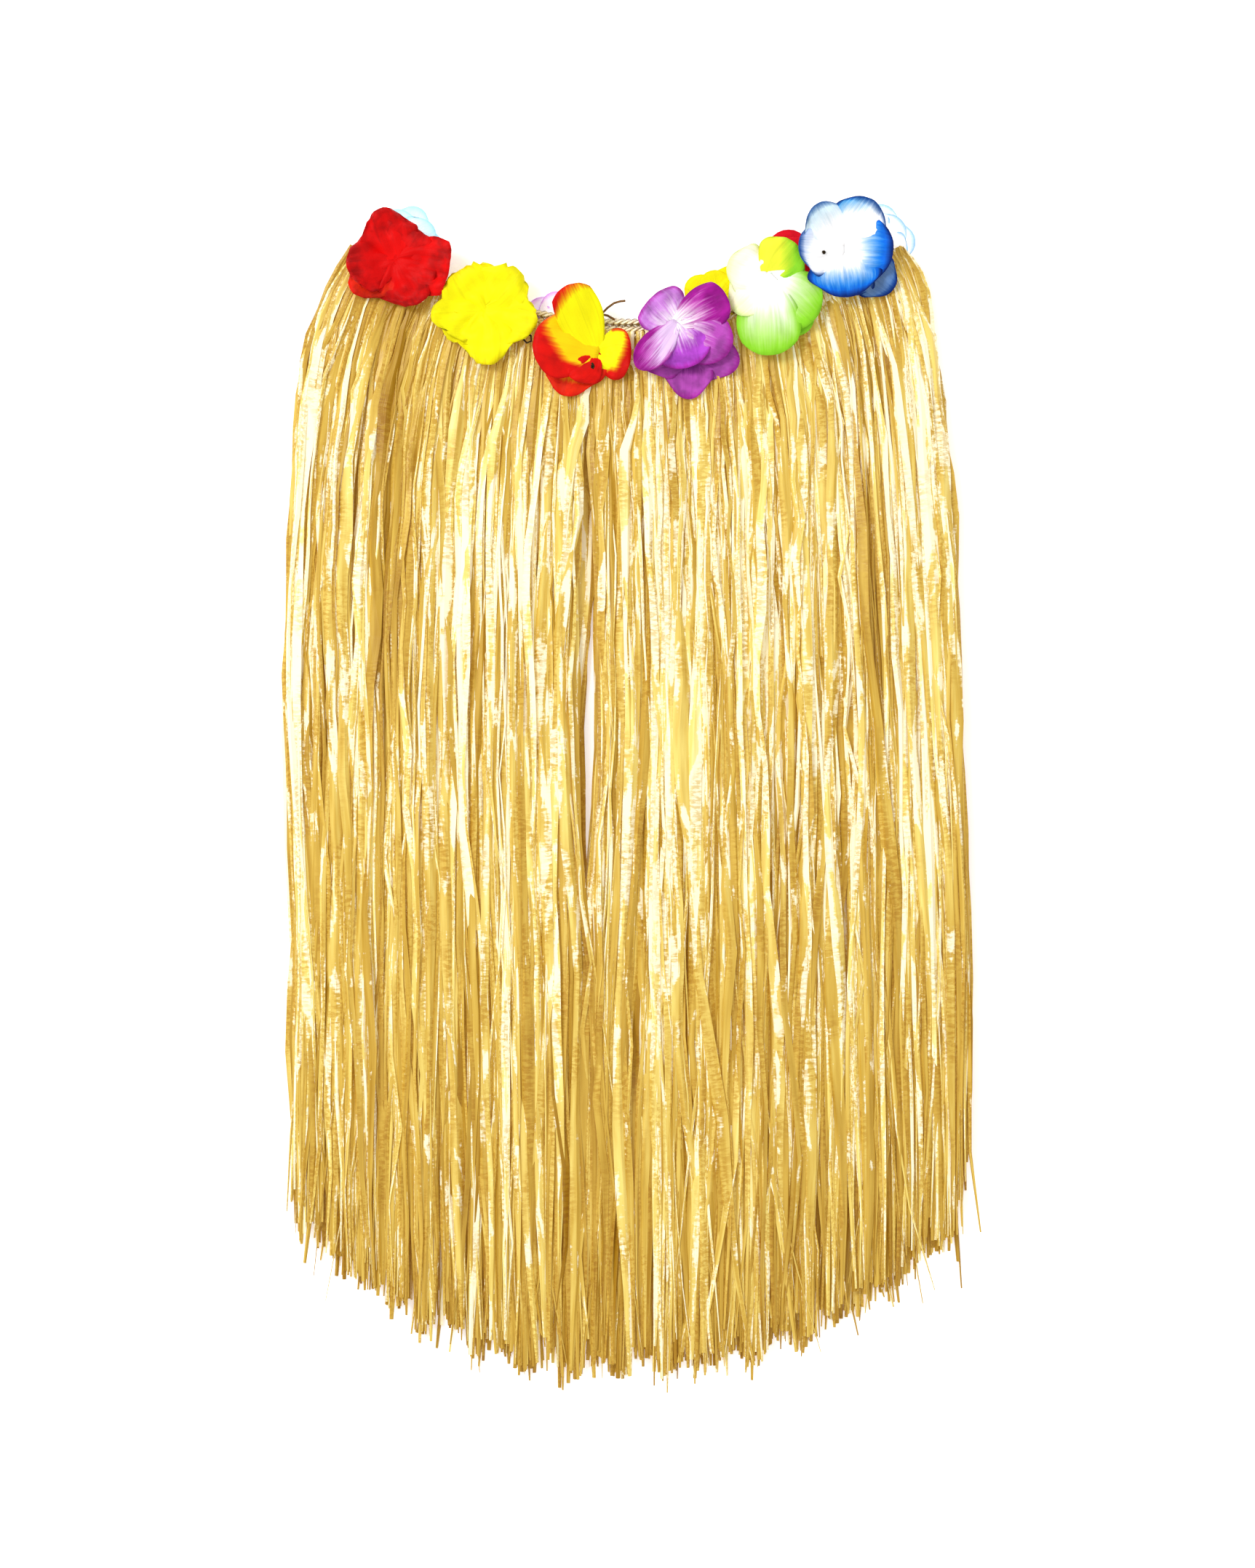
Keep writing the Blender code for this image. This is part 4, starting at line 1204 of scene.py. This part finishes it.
for flower in FRONT_FLOWERS:
    finish = petal_material(f"satin_{flower.name}", flower.edge, flower.edge_amount, flower.softness,
                            flower.streaks, flower.mottle)
    lower = [mm_petal(flower.lower_turn + 72 * index, reach, 38, 6, flower.lower_inner,
                      flower.lower_outer, start=flower.lower_start, cup=-0.6, curl=0.6, crumple=2)
             for index, reach in enumerate(flower.lower_reaches)]
    hub = flower_hub(flower.at, flower.down)
    lower_hub = hub + np.array((flower.shift_x, flower.shift_y)) * MM
    rests_on = "heading_cords"
    for part, petals, place in (("lower", lower, lower_hub), ("upper", flower.upper, hub)):
        rests_on = sew_layer(flower, part, petals, place, finish,
                             PETAL_GRID, flower.ragged)
    print(flower.name, "hub", [round(float(value), 4) for value in hub])

# %% [markdown]
# ## The flowers of the back
#
# Five more flowers are sewn to the back half. They are pressed flat between the heading and the surface,
# and only the ends of their petals show past the front ones. They emit their own colour, the pale ones
# most: painted light that stands for the surface's light coming through the satin.

# %% The back flowers
PressedFlower = namedtuple("PressedFlower", "name at down turn reach width inner outer "
                                            "edge edge_amount glow")
BACK_FLOWERS = [
    PressedFlower("back_sky", -31.4, -17.0, 67, 32.5, 34, WHITE, FAINT_BLUE, SKY_BLUE, 0.65, 0.40),
    PressedFlower("back_violet", -8.0, -0.5, 75, 31.5, 32, WHITE, FAINT_VIOLET, VIOLET, 0.5, 0.30),
    PressedFlower("back_gold", 12.4, -11.0, 70, 32.5, 34, YELLOW, YELLOW, GOLD, 0.4, 0.12),
    PressedFlower("back_scarlet", 22.4, -21.0, 90, 32.5, 42, CRIMSON, CRIMSON, CRIMSON, 0.4, 0.05),
    PressedFlower("back_azure", 34.2, -8.0, 5, 31.5, 36, WHITE, WHITE, AZURE, 0.5, 0.45),
]
PRESSED_GRID = (8, 8)
UPPER_IS_SHORTER = 4

for flower in BACK_FLOWERS:
    finish = petal_material(f"satin_{flower.name}", flower.edge, flower.edge_amount, 0.5, 0.2, 0.1,
                            flower.glow)
    hub = flower_hub(flower.at, flower.down)
    rests_on = "floor"
    for layer, part in enumerate(("lower", "upper")):
        reach = flower.reach - UPPER_IS_SHORTER * layer
        petals = [mm_petal(flower.turn + 36 * layer + 72 * index, reach, flower.width, 0.3, flower.inner,
                           flower.outer, start=0.6, tilt=0.2, curl=0, cup=0.2, ruffle=0.25, crumple=0.4)
                  for index in range(5)]
        rests_on = sew_layer(flower, part, petals, hub, finish, PRESSED_GRID)
print("back flowers:", len(BACK_FLOWERS))
